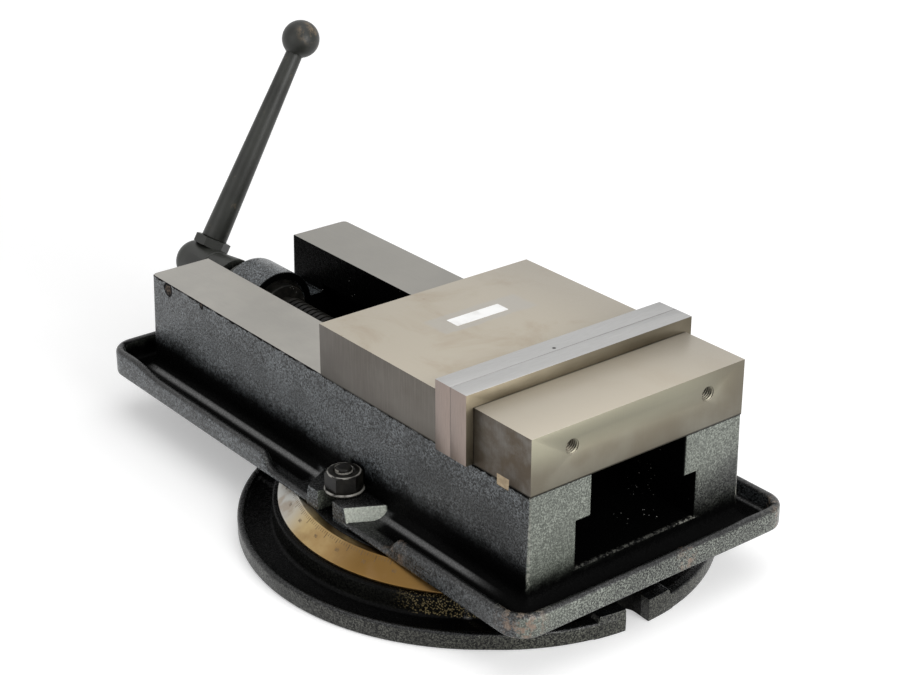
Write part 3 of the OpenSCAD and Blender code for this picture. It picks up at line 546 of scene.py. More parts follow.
def jaw_steel_finish():
    """Ground steel of the two jaws: warm stained tops, and sides painted darker as shade, with upright
    grinding marks.
    """
    f = Finish("ground_steel")
    x, y, z = (f.part(f.coords, axis) for axis in range(3))
    on_top = f.ramp(f.part(f.facing, 2), 0.5, 0.8)
    on_side = f.ramp(f.size(f.part(f.facing, 1)), 0.5, 0.8)

    # Tops: oil stains, painted shade towards the far side, rust spots, and a rubbed patch round the label
    stain = f.ramp(f.grain(15, 5, 0.65, distortion=0.6), 0.45, 0.72)
    stain = f.times(stain, f.varied(0.35, f.where((x, 100, 80)), 0.65))
    top = f.blend(stain, (0.405, 0.365, 0.297), (0.35, 0.296, 0.222))
    # Painted shade: the tops darken towards the far side
    top = f.blend(f.where((y, 20, 95), 0.5), top, (0.29, 0.265, 0.225))
    spots = f.where(f.ramp(f.cells(70), 0.16, 0.06), f.ramp(f.grain(11), 0.52, 0.66), (x, 95, 85))
    top = f.blend(spots, top, (0.22, 0.15, 0.09))
    worn = f.plus(f.times(f.grain(70, 4, 0.7), 8 * MM), -4 * MM)
    patch = f.times(f.band(f.plus(x, worn), -4.5, 14.5, 11.5), f.band(f.plus(y, worn), 4, 43, 38))
    top = f.blend(f.times(patch, 0.4), top, (0.36, 0.36, 0.355))

    # Sides with grinding marks, and the outer end face with its upper half painted paler as light; both
    # painted darker than the tops as shade
    marks = f.grain(70, 3, 0.6, f.stretched(12, 12, 0.5))
    cloud = f.grain(13, 4, 0.6)
    flank = f.blend(f.ramp(cloud, 0.3, 0.72), (0.147, 0.137, 0.123), (0.104, 0.093, 0.082))
    flank = f.blend(f.times(f.ramp(marks, 0.4, 0.72), 0.3), flank, (0.2, 0.184, 0.165))
    oiled = f.where((x, 100, 115), f.ramp(f.grain(42, 5, 0.65), 0.35, 0.6))
    flank = f.blend(f.times(oiled, 0.8), flank, (0.074, 0.056, 0.038))
    cloud = f.grain(22, 4)
    end_face = f.blend(f.ramp(cloud, 0.35, 0.7), (0.178, 0.167, 0.134), (0.138, 0.122, 0.092))
    # Painted light: the end face is paler high up
    glow = f.where((f.varied(z, f.grain(9, 3), 12 * MM), 138, 157), (y, 100, 30), (x, 160, 164))
    end_face = f.blend(glow, end_face, (0.218, 0.208, 0.157))

    # Painted shade: the sides and the end face are darker than the tops
    colour = f.blend(on_side, end_face, flank)
    colour = f.blend(on_top, colour, top)
    seam = f.most(f.where((z, 121.7, 121.1)), f.band(x, 108.5, 1.6, 0.4))
    colour = f.blend(f.times(seam, 0.9), colour, (0.03, 0.027, 0.02))
    rough = f.varied(0.38, marks, 0.14)
    metal = f.varied(1.0, on_top, -0.6)
    return f.end(colour, rough, f.bump(marks, 0.05, 0.1), metal)


def plate_steel_finish():
    """Fine ground hardened steel, bluish on top and faintly pink at the ends, with the sides and ends
    painted darker than the top as shade.
    """
    f = Finish("hardened_steel")
    on_top = f.ramp(f.part(f.facing, 2), 0.5, 0.8)
    on_side = f.ramp(f.size(f.part(f.facing, 1)), 0.5, 0.8)
    lines = f.grain(120, 3, 0.6, f.stretched(18, 1, 1))
    uprights = f.grain(120, 3, 0.6, f.stretched(18, 18, 0.6))
    top = f.blend(f.ramp(lines, 0.35, 0.7), (0.435, 0.433, 0.426), (0.4, 0.396, 0.388))
    end_face = f.blend(f.ramp(uprights, 0.35, 0.75), (0.285, 0.232, 0.205), (0.232, 0.19, 0.17))
    broad = f.blend(f.ramp(f.grain(20, 4), 0.35, 0.7), (0.13, 0.112, 0.08), (0.095, 0.08, 0.055))
    # Painted shade: the sides and ends are darker than the top
    colour = f.blend(on_side, broad, end_face)
    colour = f.blend(on_top, colour, top)
    seam = f.band(f.part(f.coords, 0), 92.5, 0.7, 0.3)
    colour = f.blend(f.times(seam, 0.4), colour, (0.1, 0.09, 0.09))
    colour = f.blend(f.near(88.7, -8.9, 171.5, 0.9, 1.7), colour, (0.02, 0.017, 0.014))
    rough = f.varied(0.3, lines, 0.14)
    return f.end(colour, rough, f.bump(uprights, 0.08, 0.1), metallic=1.0)


def brass_finish():
    """Turned brass of the swivel ring, with a dark stretch and a pale stretch painted as its reflections
    of light.
    """
    f = Finish("brass")
    x, z = f.part(f.coords, 0), f.part(f.coords, 2)
    flat = f.flattened()
    groove = f.add("ShaderNodeCombineXYZ", {0: f.length(flat), 1: z})[0]
    turning = f.grain(1600, 2, 0.6, groove)
    cloud = f.grain(26, 4, 0.6)
    colour = f.blend(f.ramp(cloud, 0.35, 0.7), (0.44, 0.33, 0.16), (0.31, 0.2, 0.085))
    # Painted reflection: the ring is painted dark brown towards +X and pale towards -X
    colour = f.blend(f.where((x, 0, 40)), colour, (0.175, 0.1, 0.032))
    colour = f.blend(f.where((x, -20, -60)), colour, (0.42, 0.415, 0.385))
    colour = f.blend(f.times(f.ramp(f.grain(55, 4), 0.5, 0.66), 0.5), colour, (0.20, 0.12, 0.05))
    around = f.vectors("CROSS_PRODUCT", (0.0, 0.0, 1.0), flat)[0]
    rough = f.varied(0.24, turning, 0.12)
    return f.end(colour, rough, f.bump(turning, 0.1, 0.05), metallic=1.0, Anisotropic=0.6, Tangent=around)


def black_oxide_finish():
    """Satin black oxide with an olive cast, rusty in spots and on one side of the ball."""
    f = Finish("black_oxide")
    fine = f.grain(600, 3, 0.6)
    cloud = f.grain(45, 4, 0.6)
    colour = f.blend(f.ramp(cloud, 0.3, 0.7), (0.011, 0.0115, 0.0095), (0.022, 0.0232, 0.0195))
    rust = f.times(f.ramp(f.grain(90, 4, 0.65), 0.64, 0.74), 0.35)
    ball_rust = f.times(f.near(-362, 109, 268, 5, 14), f.ramp(f.grain(110, 4, 0.7), 0.42, 0.62))
    colour = f.blend(f.most(rust, ball_rust), colour, (0.125, 0.094, 0.06))
    rough = f.varied(0.36, fine, 0.12)
    return f.end(colour, rough, f.bump(fine, 0.2, 0.12), IOR=1.4)


def blackened_finish():
    """Oily black of the clamp nuts, with bright worn edges that are also painted highlights."""
    f = Finish("blackened_steel")
    smear = f.grain(140, 4, 0.6)
    colour = f.blend(f.ramp(smear, 0.35, 0.7), (0.005, 0.0046, 0.004), (0.013, 0.012, 0.01))
    x, y, z = (f.part(f.coords, axis) for axis in range(3))
    off_x = f.plus(x, -BOLT_X * MM)
    off_y = f.plus(f.size(y), -BOLT_Y * MM)
    radius = f.sums("SQRT", f.plus(f.times(off_x, off_x), f.times(off_y, off_y)))
    # Worn edges, painted bright also as highlights on the washer's rim, the nut's top chamfer and the
    # stud's thread crest
    washer_rim = f.where((radius, 13.3, 13.8), (z, 52.4, 53), (z, 54.5, 54.1))
    nut_rim = f.where(f.band(radius, 11.7, 0.6, 0.3), (z, 65.2, 65.8))
    crest = f.where((radius, 6.1, 6.3), (radius, 6.8, 6.6), (z, 65.8, 66.2))
    worn = f.times(f.most(washer_rim, nut_rim, crest), f.ramp(f.grain(130, 3), 0.36, 0.52))
    colour = f.blend(worn, colour, (0.26, 0.25, 0.225))
    rough = f.varied(0.22, smear, 0.16)
    gloss = f.varied(1.27, worn, 0.4)
    return f.end(colour, rough, f.bump(f.grain(500, 3, 0.6), 0.15, 0.1), IOR=gloss)


def key_finish():
    """Dull tan steel of the jaw keys, mottled with oil."""
    f = Finish("key_steel")
    mottle = f.ramp(f.grain(160, 4, 0.65), 0.35, 0.65)
    colour = f.blend(mottle, (0.43, 0.34, 0.225), (0.3, 0.23, 0.145))
    return f.end(colour, 0.5, f.bump(f.grain(500, 3), 0.2, 0.1), metallic=0.6)


def bright_steel_finish():
    """Turned steel with a film of oil."""
    f = Finish("bright_steel")
    lines = f.grain(700, 2, 0.6)
    colour = f.blend(f.ramp(f.grain(40, 4), 0.35, 0.7), (0.42, 0.42, 0.42), (0.30, 0.29, 0.27))
    rough = f.varied(0.28, lines, 0.16)
    return f.end(colour, rough, f.bump(lines, 0.1, 0.06), metallic=1.0)


def greased_finish():
    """Steel under dark grease, which holds a few bright specks of swarf, painted near black also for the
    shade it sits in.
    """
    f = Finish("greased_steel")
    smear = f.grain(120, 4, 0.6)
    # Painted shade: the steel is painted near black for the shade of the channel
    colour = f.blend(f.ramp(smear, 0.35, 0.7), (0.004, 0.004, 0.0035), (0.014, 0.013, 0.011))
    specks = f.times(f.ramp(f.cells(420), 0.14, 0.06), f.ramp(f.grain(60), 0.56, 0.64))
    colour = f.blend(specks, colour, (0.4, 0.4, 0.38))
    rough = f.varied(0.28, smear, 0.2)
    return f.end(colour, rough, f.bump(smear, 0.3, 0.3), IOR=1.18)


def label_finish():
    """Blank white paper, a little soiled."""
    f = Finish("blank_label")
    colour = f.blend(f.ramp(f.grain(90, 4), 0.4, 0.75), (0.86, 0.86, 0.85), (0.72, 0.71, 0.69))
    return f.end(colour, 0.55, f.bump(f.grain(900), 0.1, 0.05))


def engraved_finish():
    """Dark filling of the ring's graduation."""
    f = Finish("graduation")
    colour = f.blend(f.ramp(f.grain(400), 0.35, 0.7), (0.05, 0.03, 0.015), (0.12, 0.075, 0.03))
    return f.end(colour, 0.5, f.bump(f.grain(900), 0.1, 0.03))


PAINT = cast_paint_finish()
WAYS = ways_finish()
JAW_STEEL = jaw_steel_finish()
GREASE_AND_SHADE = greased_finish()
BLACKENED = blackened_finish()
LABEL = label_finish()
ENGRAVED = engraved_finish()
BY_SLOT = {"cast_paint": PAINT, "brass": brass_finish(), "ground_steel": JAW_STEEL,
           "hardened_steel": plate_steel_finish(), "black_oxide": black_oxide_finish(),
           "bright_steel": bright_steel_finish()}
BY_NODE = {"thrust_washer_rear": GREASE_AND_SHADE, "thrust_washer_front": GREASE_AND_SHADE, "thrust_cage": GREASE_AND_SHADE,
           "thrust_balls": GREASE_AND_SHADE, "jaw_nut": GREASE_AND_SHADE, "fixed_jaw_keys": key_finish()}
for row in frame["record"]["subparts"]:
    solid = frame["nodes"][row["node"]]
    solid.data.materials.clear()
    solid.data.materials.append(BY_NODE.get(row["node"], BY_SLOT[row["material_slot"]]))


# Bed casting

def smooth_step(x, low, high):
    t = min(max((x - low) / (high - low), 0.0), 1.0)
    return t * t * (3 - 2 * t)


def lip_top(x):
    """Height of the tray's lip along its length: raised at the rear, and gone at the clamp ears."""
    fall = smooth_step(x, -289.5, -244.5)
    top = REAR_LIP_TOP + (LIP_TOP - REAR_LIP_TOP) * fall
    gap = smooth_step(x, -101.5, -88.5) - smooth_step(x, 51.5, 64.5)
    return top + (TRAY_FLOOR - top) * gap


def tray_stations():
    """Places round the bed: a point on its wall, the point on the tray's edge, and the way outwards."""
    stations = []

    def run(bed_a, bed_b, tray_a, tray_b, normal, step):
        bed_a, bed_b, tray_a, tray_b = (Vector(p) for p in (bed_a, bed_b, tray_a, tray_b))
        count = max(int((tray_b - tray_a).length / step), 2)
        for k in range(count):
            t = k / count
            stations.append((bed_a.lerp(bed_b, t), tray_a.lerp(tray_b, t), Vector(normal)))

    def turn(bed, bed_r, tray, start, steps=10):
        for k in range(steps):
            angle = radians(start + 90 * k / steps)
            normal = Vector((cos(angle), sin(angle)))
            stations.append((Vector(bed) + normal * bed_r, Vector(tray) + normal * TRAY_CORNER, normal))

    rear, front = BED_CORNERS["rear"], BED_CORNERS["front"]
    tx0, tx1, ty = TRAY_X0 + TRAY_CORNER, TRAY_X1 - TRAY_CORNER, TRAY_HALF - TRAY_CORNER
    bx0, bx1 = BED_X0 + rear, BED_X1 - front
    by_front, by_rear = BED_HALF - front, BED_HALF - rear
    run((BED_X1, -by_front), (BED_X1, by_front), (TRAY_X1, -ty), (TRAY_X1, ty), (1, 0), 4)
    turn((bx1, by_front), front, (tx1, ty), 0)
    run((bx1, BED_HALF), (bx0, BED_HALF), (tx1, TRAY_HALF), (tx0, TRAY_HALF), (0, 1), 3)
    turn((bx0, by_rear), rear, (tx0, ty), 90)
    run((BED_X0, by_rear), (BED_X0, -by_rear), (TRAY_X0, ty), (TRAY_X0, -ty), (-1, 0), 4)
    turn((bx0, -by_rear), rear, (tx0, -ty), 180)
    run((bx0, -BED_HALF), (bx1, -BED_HALF), (tx0, -TRAY_HALF), (tx1, -TRAY_HALF), (0, -1), 3)
    turn((bx1, -by_front), front, (tx1, -ty), 270)
    return stations


def tray_section(bed, tray, normal):
    """Points of the casting's outline at one station, from the underside over the lip and up the wall."""
    sway = waver(0.45, tray.x * 0.02, tray.y * 0.02, 3.0)
    top = max(lip_top(tray.x) - waver(0.5, tray.x * 0.03, tray.y * 0.03, 9.0), TRAY_FLOOR)
    under, half = 2.4, LIP / 2
    outer, inner = min(half, (top - TRAY_Z0) / 2), min(half, top - TRAY_FLOOR)
    gap = (tray - bed).dot(normal)
    fillet = min(FOOT, max(top - TRAY_FLOOR - inner, 0.0))
    cove = min(COVE, gap - LIP - FOOT - 0.1)
    points = []

    def from_edge(inset, z):
        p = tray - normal * (inset + sway)
        points.append((p.x, p.y, z))

    def from_wall(out, z):
        lean = DRAFT * (WAYS_Z - z) * min(1.0 - normal.x, 1.0)
        p = bed + normal * (out + max(lean, 0.0))
        points.append((p.x, p.y, z))

    from_edge(4.5, TRAY_Z0)
    for a in quarter(3):
        from_edge(under * (1 - sin(a)), TRAY_Z0 + under * (1 - cos(a)))
    for a in quarter(5):
        from_edge(half * (1 - cos(a)), top - outer * (1 - sin(a)))
    for a in quarter(5)[1:]:
        from_edge(half * (1 + sin(a)), top - inner * (1 - cos(a)))
    for a in quarter(3):
        from_edge(LIP + FOOT * (1 - cos(a)), TRAY_FLOOR + fillet * (1 - sin(a)))
    for a in quarter(10):
        from_wall(cove * (1 - sin(a)), TRAY_FLOOR + COVE * (1 - cos(a)))
    for z in (75.0, 90.0, 105.0, WAYS_Z - 0.5):
        from_wall(0.0, z)
    from_wall(-0.5, WAYS_Z)
    return points


def bed_shell():
    sections = [tray_section(*station) for station in tray_stations()]
    loops = [[section[i] for section in sections] for i in range(len(sections[0]))]
    return loft("bed_casting", loops)


def ear(side):
    """A clamp ear that spreads towards the wall, with its upper edge rounded."""
    edge = 1.6
    levels = [(TRAY_Z0 + 0.1, 3.0), (TRAY_FLOOR, 3.0), (EAR_TOP - edge, 0.6)]
    for a in quarter(3)[1:]:
        levels.append((EAR_TOP - edge + edge * sin(a), 0.6 - 1.4 * (1 - cos(a))))
    loops = []
    for z, spread in levels:
        corners = [(BOLT_X - 40 - spread, 88.0, 0), (BOLT_X + 42 + spread, 88.0, 0),
                   (BOLT_X + 21 + spread, TRAY_HALF - 0.3, 3), (BOLT_X - 21 - spread, TRAY_HALF - 0.3, 3)]
        loops.append([(x, y * side, z) for x, y in rounded(corners)])
    return loft("ear", loops)


def side_view_cut(name, outline, low, high):
    """A tool that cuts along X: its outline holds Y and Z."""
    return loft(name, [[(x, y, z) for y, z in outline] for x in (low, high)])


def channel_cut():
    """The T-shaped channel between the ways, with its front mouth chamfered."""
    chamfer = 1.1
    tee = [(-CHANNEL_HALF, CHANNEL_Z0), (CHANNEL_HALF, CHANNEL_Z0), (CHANNEL_HALF, CHANNEL_Z1),
           (SLOT_HALF, CHANNEL_Z1), (SLOT_HALF, OVER_WAYS), (-SLOT_HALF, OVER_WAYS),
           (-SLOT_HALF, CHANNEL_Z1), (-CHANNEL_HALF, CHANNEL_Z1)]
    flare = grown(tee, chamfer)
    places = ((CHANNEL_X0, tee), (BED_X1 - chamfer, tee), (BED_X1, flare), (190.0, flare))
    return loft("channel", [[(x, y, z) for y, z in shape] for x, shape in places])


def bed_casting():
    casting = bed_shell()
    for side in (-1, 1):
        carve(casting, ear(side), "UNION")
    carve(casting, channel_cut())
    rear_slot = rectangle(-SLOT_HALF, SLOT_Z0, SLOT_HALF, OVER_WAYS)
    carve(casting, side_view_cut("rear_slot", rear_slot, -300.0, -255.0))
    boss = rounded([(0, BOSS_X0, 0), (BOSS_R, BOSS_X0, 6.5), (BOSS_R, BOSS_X1, 1.0), (0, BOSS_X1, 0)], 6)
    carve(casting, turned("boss", boss, AT_SCREW, 128), "UNION")
    bore = [(0, -312), (16, -312), (16, -270.5), (24, -270.5), (24, -258.0), (25.4, -256.0),
            (25.4, -250), (0, -250)]
    carve(casting, turned("bore", bore, AT_SCREW, 128))
    carve(casting, rod("notch", 22, -330, -316.5, AT_SCREW))
    for side in (-1, 1):
        half, end = 9, 105.0
        slot = [(BOLT_X - half, end), (BOLT_X - half, 130.0), (BOLT_X + half, 130.0)]
        slot += arc(BOLT_X, end, half, 0, -180, 16)[:-1]
        slot = [(x, y * side) for x, y in slot]
        carve(casting, prism("ear_slot", slot, 30.0, EAR_TOP + 0.8, mouth=0.8))
        carve(casting, rod("spot_face", 14.7, EAR_TOP, STUD_TOP, at_bolt(side), 64))
    carve(casting, side_view_cut("key_slot", rectangle(-97, 116.5, 97, OVER_WAYS), 132.5, 144.5))
    bolt_holes = []
    for x in (122.0, 155.0):
        for y in (-74.0, 74.0):
            hole = [(0, 30), (9.5, 30), (9.5, 74.5), (6.5, 74.5), (6.5, 125), (0, 125)]
            bolt_holes.append(turned("hole", hole, Matrix.Translation((x, y, 0)), 32))
    carve(casting, join("bolt_holes", bolt_holes))
    carve(casting, rod("pivot_bore", 20.05, 30, 48.3))
    dress(casting, "bed", ["bed", "drip_tray", "inner_ways", "screw_boss"], "cast_paint", PAINT, WAYS)
    for face in casting.data.polygons:
        on_top = face.normal.z > 0.99 and face.center.z > (WAYS_Z - 0.1) * MM
        face.material_index = 1 if on_top else 0


# Swivel base

def lug_growth(angle):
    """How far the rounded lugs at the table slots reach past the base's round edge."""
    turn = cos(angle - BASE_TURN)
    reach = LUG_SHIFT * abs(turn) + sqrt(LUG_R ** 2 - LUG_SHIFT ** 2 * (1 - turn * turn))
    return max(reach - BASE_R, 0.0)


def table_pad(facing):
    """The raised pad round a table slot, with its edges rounded and its outer edge flush with the lug."""
    inner = 149.0
    loops = []
    for z, inset in [(0.2, 0.0), (PAD_TOP - 1.6, 0.0), (PAD_TOP - 0.5, 0.5), (PAD_TOP, 1.6)]:
        half = PAD_HALF - inset + 0.25 * (PAD_TOP - z)
        rim = []
        for k in range(13):
            across = half * (1 - k / 6)
            rim.append((LUG_SHIFT + sqrt(LUG_R ** 2 - across ** 2) - 0.4 - inset, across))
        outline = [(inner, -half)] + rim[::-1] + [(inner, half)]
        loops.append([facing @ Vector((x, y, z)) for x, y in outline])
    return loft("pad", loops)


def base_shell():
    """The turned body of the base, with its edge drawn out into the lugs."""
    gutter, seat, top = BASE_R - RIM, 22.5, 35.95
    corners = [(36, 0, 2), (36, 22, 4), (85.6, 22, 4), (85.6, 0, 2),
               (BASE_R, 0, 1.5), (BASE_R, 12.5, 2.2), (gutter, 12.5, 1.5), (gutter, 7.5, 2.5),
               (151, 7.5, 3), (151, seat, 1.6), (128, seat, 0.5), (128, top, 0.6), (117.1, top, 0.6),
               (117.1, 24, 0), (123.6, 24, 0), (123.6, 10, 2), (93.6, 10, 2), (93.6, 24, 0),
               (100.1, 24, 0), (100.1, top, 0.6), (20, top, 0.6), (20, 6, 0), (0, 6, 0), (0, 0, 0)]
    steps, ease = 256, 1.5
    loops = []
    for radius, height in rounded(corners, 4):
        loop = []
        for k in range(steps):
            angle = 2 * pi * k / steps
            r = radius
            if radius > gutter + ease:
                r += lug_growth(angle) * min((radius - gutter - ease) / ease, 1.0)
                r -= waver(0.4, 3 * cos(angle), 3 * sin(angle), height * 0.1)
            loop.append((r * cos(angle), r * sin(angle), height))
        loops.append(loop)
    return loft("base_casting", loops, joined=True, capped=False)


def base_casting():
    base = base_shell()
    for turn in (BASE_TURN, BASE_TURN + pi):
        facing = Matrix.Rotation(turn, 4, "Z")
        carve(base, table_pad(facing), "UNION")
        slot = [(195.0, -10.0), (195.0, 10.0)] + arc(166.0, 0, 10, 90, 270, 16)
        carve(base, prism("table_slot", slot, -5.0, PAD_TOP + 0.8, facing, mouth=0.8))
        entry = facing @ Matrix.Rotation(radians(45), 4, "Z") @ Matrix.Translation((108.59, 0, 0))
        carve(base, rod("bolt_entry", 19, -2, 11, entry, 48))
    dress(base, "base", ["swivel_base"], "cast_paint")


# Graduated ring

class Tree(Nodes):
    """A Geometry Nodes tree with named sizes, which ends in one plain mesh."""

    def __init__(self, name, **sizes):
        super().__init__(bpy.data.node_groups.new(name, "GeometryNodeTree"))
        sockets = self.tree.interface
        sockets.new_socket("Geometry", in_out="OUTPUT", socket_type="NodeSocketGeometry")
        self.keys = {}
        for key, value in sizes.items():
            kind = "NodeSocketInt" if isinstance(value, int) else "NodeSocketFloat"
            socket = sockets.new_socket(key, in_out="INPUT", socket_type=kind)
            socket.default_value = value
            self.keys[key] = socket.identifier
        self.sizes = self.add("NodeGroupInput")

    def end(self, geometry, material):
        plain = self.add("GeometryNodeRealizeInstances", {0: geometry})[0]
        finished = self.add("GeometryNodeSetMaterial", {"Geometry": plain, "Material": material})[0]
        self.add("NodeGroupOutput", {0: finished})

    def make(self, name, **sizes):
        obj = link(name, bpy.data.meshes.new(name))
        grow = obj.modifiers.new("grow", "NODES")
        grow.node_group = self.tree
        for key, value in sizes.items():
            grow[self.keys[key]] = value
        return settle(obj)


def graduation_tree():
    """Marks round a cone. Their radius and height are those of their middles."""
    t = Tree("graduation", Count=72, Radius=0.14, Height=0.03, Length=0.004, Width=0.0003, Slope=0.7)
    size = t.sizes
    ring = t.add("GeometryNodeMeshCircle", {"Vertices": size["Count"], "Radius": size["Radius"]})[0]
    lift = t.add("ShaderNodeCombineXYZ", {2: size["Height"]})[0]
    ring = t.add("GeometryNodeTransform", {"Geometry": ring, "Translation": lift})[0]
    block = t.add("ShaderNodeCombineXYZ", {0: size["Length"], 1: size["Width"], 2: 0.00012})[0]
    mark = t.add("GeometryNodeMeshCube", {"Size": block})[0]
    step = t.sums("DIVIDE", 2 * pi, size["Count"])
    turn = t.times(t.add("GeometryNodeInputIndex")[0], step)
    euler = t.add("ShaderNodeCombineXYZ", {1: size["Slope"], 2: turn})[0]
    marks = t.add("GeometryNodeInstanceOnPoints", {"Points": ring, "Instance": mark, "Rotation": euler})[0]
    t.end(marks, ENGRAVED)
    return t


def thread_tree(material):
    """A screw thread along Z. Its radius is that of the ridge's middle."""
    t = Tree("thread_" + material.name, Radius=0.013, Pitch=0.006, Turns=40.0, Ridge=0.002,
             Foot=0.004, Crest=0.002)
    size = t.sizes
    path = t.add("GeometryNodeCurveSpiral", {
        "Resolution": 40, "Rotations": size["Turns"], "Start Radius": size["Radius"],
        "End Radius": size["Radius"], "Height": t.times(size["Pitch"], size["Turns"]), "Reverse": True})[0]
    path = t.add("GeometryNodeSetCurveNormal", {"Curve": path}, mode="Z_UP")[0]
    ridge = t.add("GeometryNodeCurvePrimitiveQuadrilateral", {
        "Height": size["Ridge"], "Bottom Width": size["Foot"], "Top Width": size["Crest"],
        "Offset": 0.0}, mode="TRAPEZOID")[0]
    ridge = t.add("GeometryNodeTransform", {"Geometry": ridge, "Rotation": (0.0, 0.0, radians(90))})[0]
    body = t.add("GeometryNodeCurveToMesh", {"Curve": path, "Profile Curve": ridge, "Fill Caps": True})[0]
    t.end(body, material)
    return t


def on_ring(distance):
    """Radius and height of a point on the ring's cone, that far below its upper edge."""
    return RING_TOP + distance * cos(RING_SLOPE), RING_TOP_Z - distance * sin(RING_SLOPE)


def graduated_ring():
    outline = rounded([(RING_BORE, 22.5, 0.3), (147, 22.5, 0.4), (147, 24.5, 0.5),
                       (RING_TOP, RING_TOP_Z, 0.4), (RING_BORE, RING_TOP_Z, 0.3)], 3)
    ring = turned("brass_ring", outline, steps=256, joined=True)
    dress(ring, "base", ["graduated_ring"], "brass")
    tree = graduation_tree()
    rows = []
    for name, count, length, width in (("degrees", 360, 2.6, 0.32), ("fives", 72, 3.8, 0.42),
                                       ("tens", 36, 5.0, 0.42)):
        radius, height = on_ring(0.7 + length / 2)
        rows.append(tree.make(name, Count=count, Radius=radius * MM, Height=height * MM,
                              Length=length * MM, Width=width * MM, Slope=RING_SLOPE))
    for turn in range(0, 360, 10):
        value = turn % 180
        rows.append(ring_number(str(min(value, 180 - value)), radians(turn) + BASE_TURN))
    marks = join("graduation", rows)
    dress(marks, "base", [], "brass", ENGRAVED)


def ring_number(text, angle):
    """Plain figures on the cone, under a long mark."""
    curve = bpy.data.curves.new("figures", "FONT")
    curve.body, curve.size, curve.extrude = text, 3.4 * MM, 0.05 * MM
    curve.align_x, curve.align_y, curve.resolution_u = "CENTER", "TOP", 3
    words = link("figures", curve)
    graph = bpy.context.evaluated_depsgraph_get()
    mesh = bpy.data.meshes.new_from_object(words.evaluated_get(graph))
    bpy.data.objects.remove(words)
    radius, height = on_ring(6.4)
    stand = Matrix.Rotation(angle, 4, "Z") @ Matrix.Translation((radius * MM, 0, height * MM))
    down_slope = Matrix.Rotation(RING_SLOPE, 4, "Y") @ Matrix.Rotation(pi / 2, 4, "Z")
    mesh.transform(stand @ down_slope)
    return link("figures", mesh)


# Jaws, plates and small parts

def jaws():
    for node, name, body, edge, slot in (
            ("movable_jaw", "movable_jaw_block", "jaw", 0.7, "ground_steel"),
            ("fixed_jaw", "fixed_jaw_block", "bed", 0.7, "ground_steel"),
            ("movable_jaw_plate", "movable_plate", "jaw", 0.3, "hardened_steel"),
            ("fixed_jaw_plate", "fixed_plate", "bed", 0.3, "hardened_steel")):
        dress(from_solid(node, name, edge), body, [node], slot)
    tapped_threads()
    corners = [(x, y, 0.8) for x, y in rectangle(-10.5, -22, 2, 24.5)]
    dress(prism("label", rounded(corners), 160.45, 160.62), "jaw", [], "ground_steel", LABEL)


def hex_nut(name, flats, low, high, hole, place, slope=0.55):
    """A six-sided nut with turned chamfers of that slope on both faces."""
    outline = hexagon(flats)
    nut = prism(name, outline, low, high, place)
    corner, face, mouth = outline[0][0], flats / 2 - 0.3, 1.2
    rise = (corner - flats / 2 + 0.3) * slope
    form = [(0, low), (face, low), (corner + 0.05, low + rise), (corner + 0.05, high - rise),
            (face, high), (0, high)]
    carve(nut, turned("form", form, place), "INTERSECT")
    bore = [(0, low - 1), (hole + mouth, low - 1), (hole + mouth, low), (hole, low + mouth),
            (hole, high - mouth), (hole + mouth, high), (hole + mouth, high + 1), (0, high + 1)]
    return carve(nut, turned("bore", bore, place, 64))


def thread_at(tree, name, place, start, end, radius, pitch, depth):
    """A thread from one height to another on the Z axis of a place, in millimetres."""
    turns = (end - start) / pitch
    ridge = tree.make(name, Radius=radius * MM, Pitch=pitch * MM, Turns=turns, Ridge=depth * MM,
                      Foot=0.85 * pitch * MM, Crest=0.2 * pitch * MM)
    shift = place @ Matrix.Translation((0, 0, start))
    shift.translation *= MM
    ridge.data.transform(shift)
    return ridge


def tapped_threads():
    tree = thread_tree(JAW_STEEL)
    threads = []
    for y in (-60, 60):
        place = Matrix.Translation((0, y, 146)) @ ALONG_X
        threads.append(thread_at(tree, "tapped", place, 148.0, 164.6, 5.15, 1.75, 0.9))
    dress(join("tapped_threads", threads), "bed", [], "ground_steel")


def clamps():
    stud_thread = thread_tree(BLACKENED)
    for side, name in ((-1, "near"), (1, "far")):
        nut = hex_nut("clamp_nut_" + name + "_chamfered", 24, NUT_Z0, NUT_Z1, 6.55, at_bolt(side))
        dress(nut, "nut_" + name, ["clamp_nut_" + name], "black_oxide", BLACKENED)
    ring = rounded([(7, EAR_TOP, 0.2), (14.4, EAR_TOP, 0.5), (14.4, NUT_Z0, 0.7), (7, NUT_Z0, 0.3)], 3)
    stud = rounded([(0, 22.7, 0), (5.5, 22.7, 0), (5.5, STUD_TOP, 1.0), (0, STUD_TOP, 0)], 3)
    washers, bolts = [], []
    for side in (-1, 1):
        place = at_bolt(side)
        washers.append(turned("washer", ring, place, joined=True))
        bolts.append(turned("stud", stud, place, 64))
        bolts.append(thread_at(stud_thread, "stud_thread", place, 46.0, 68.4, 5.95, 1.75, 1.0))
        in_slot = place @ Matrix.Rotation(atan2(BOLT_Y * side, BOLT_X), 4, "Z")
        bolts.append(eased(prism("head", rectangle(-13, -13, 13, 13), 14.7, 23.7, in_slot), 0.8))
    dress(join("clamp_washers_turned", washers), "bed", ["clamp_washers"], "black_oxide", BLACKENED)
    dress(join("clamp_bolts_turned", bolts), "bed", ["clamp_bolts"], "black_oxide", BLACKENED)


# Handle and screw

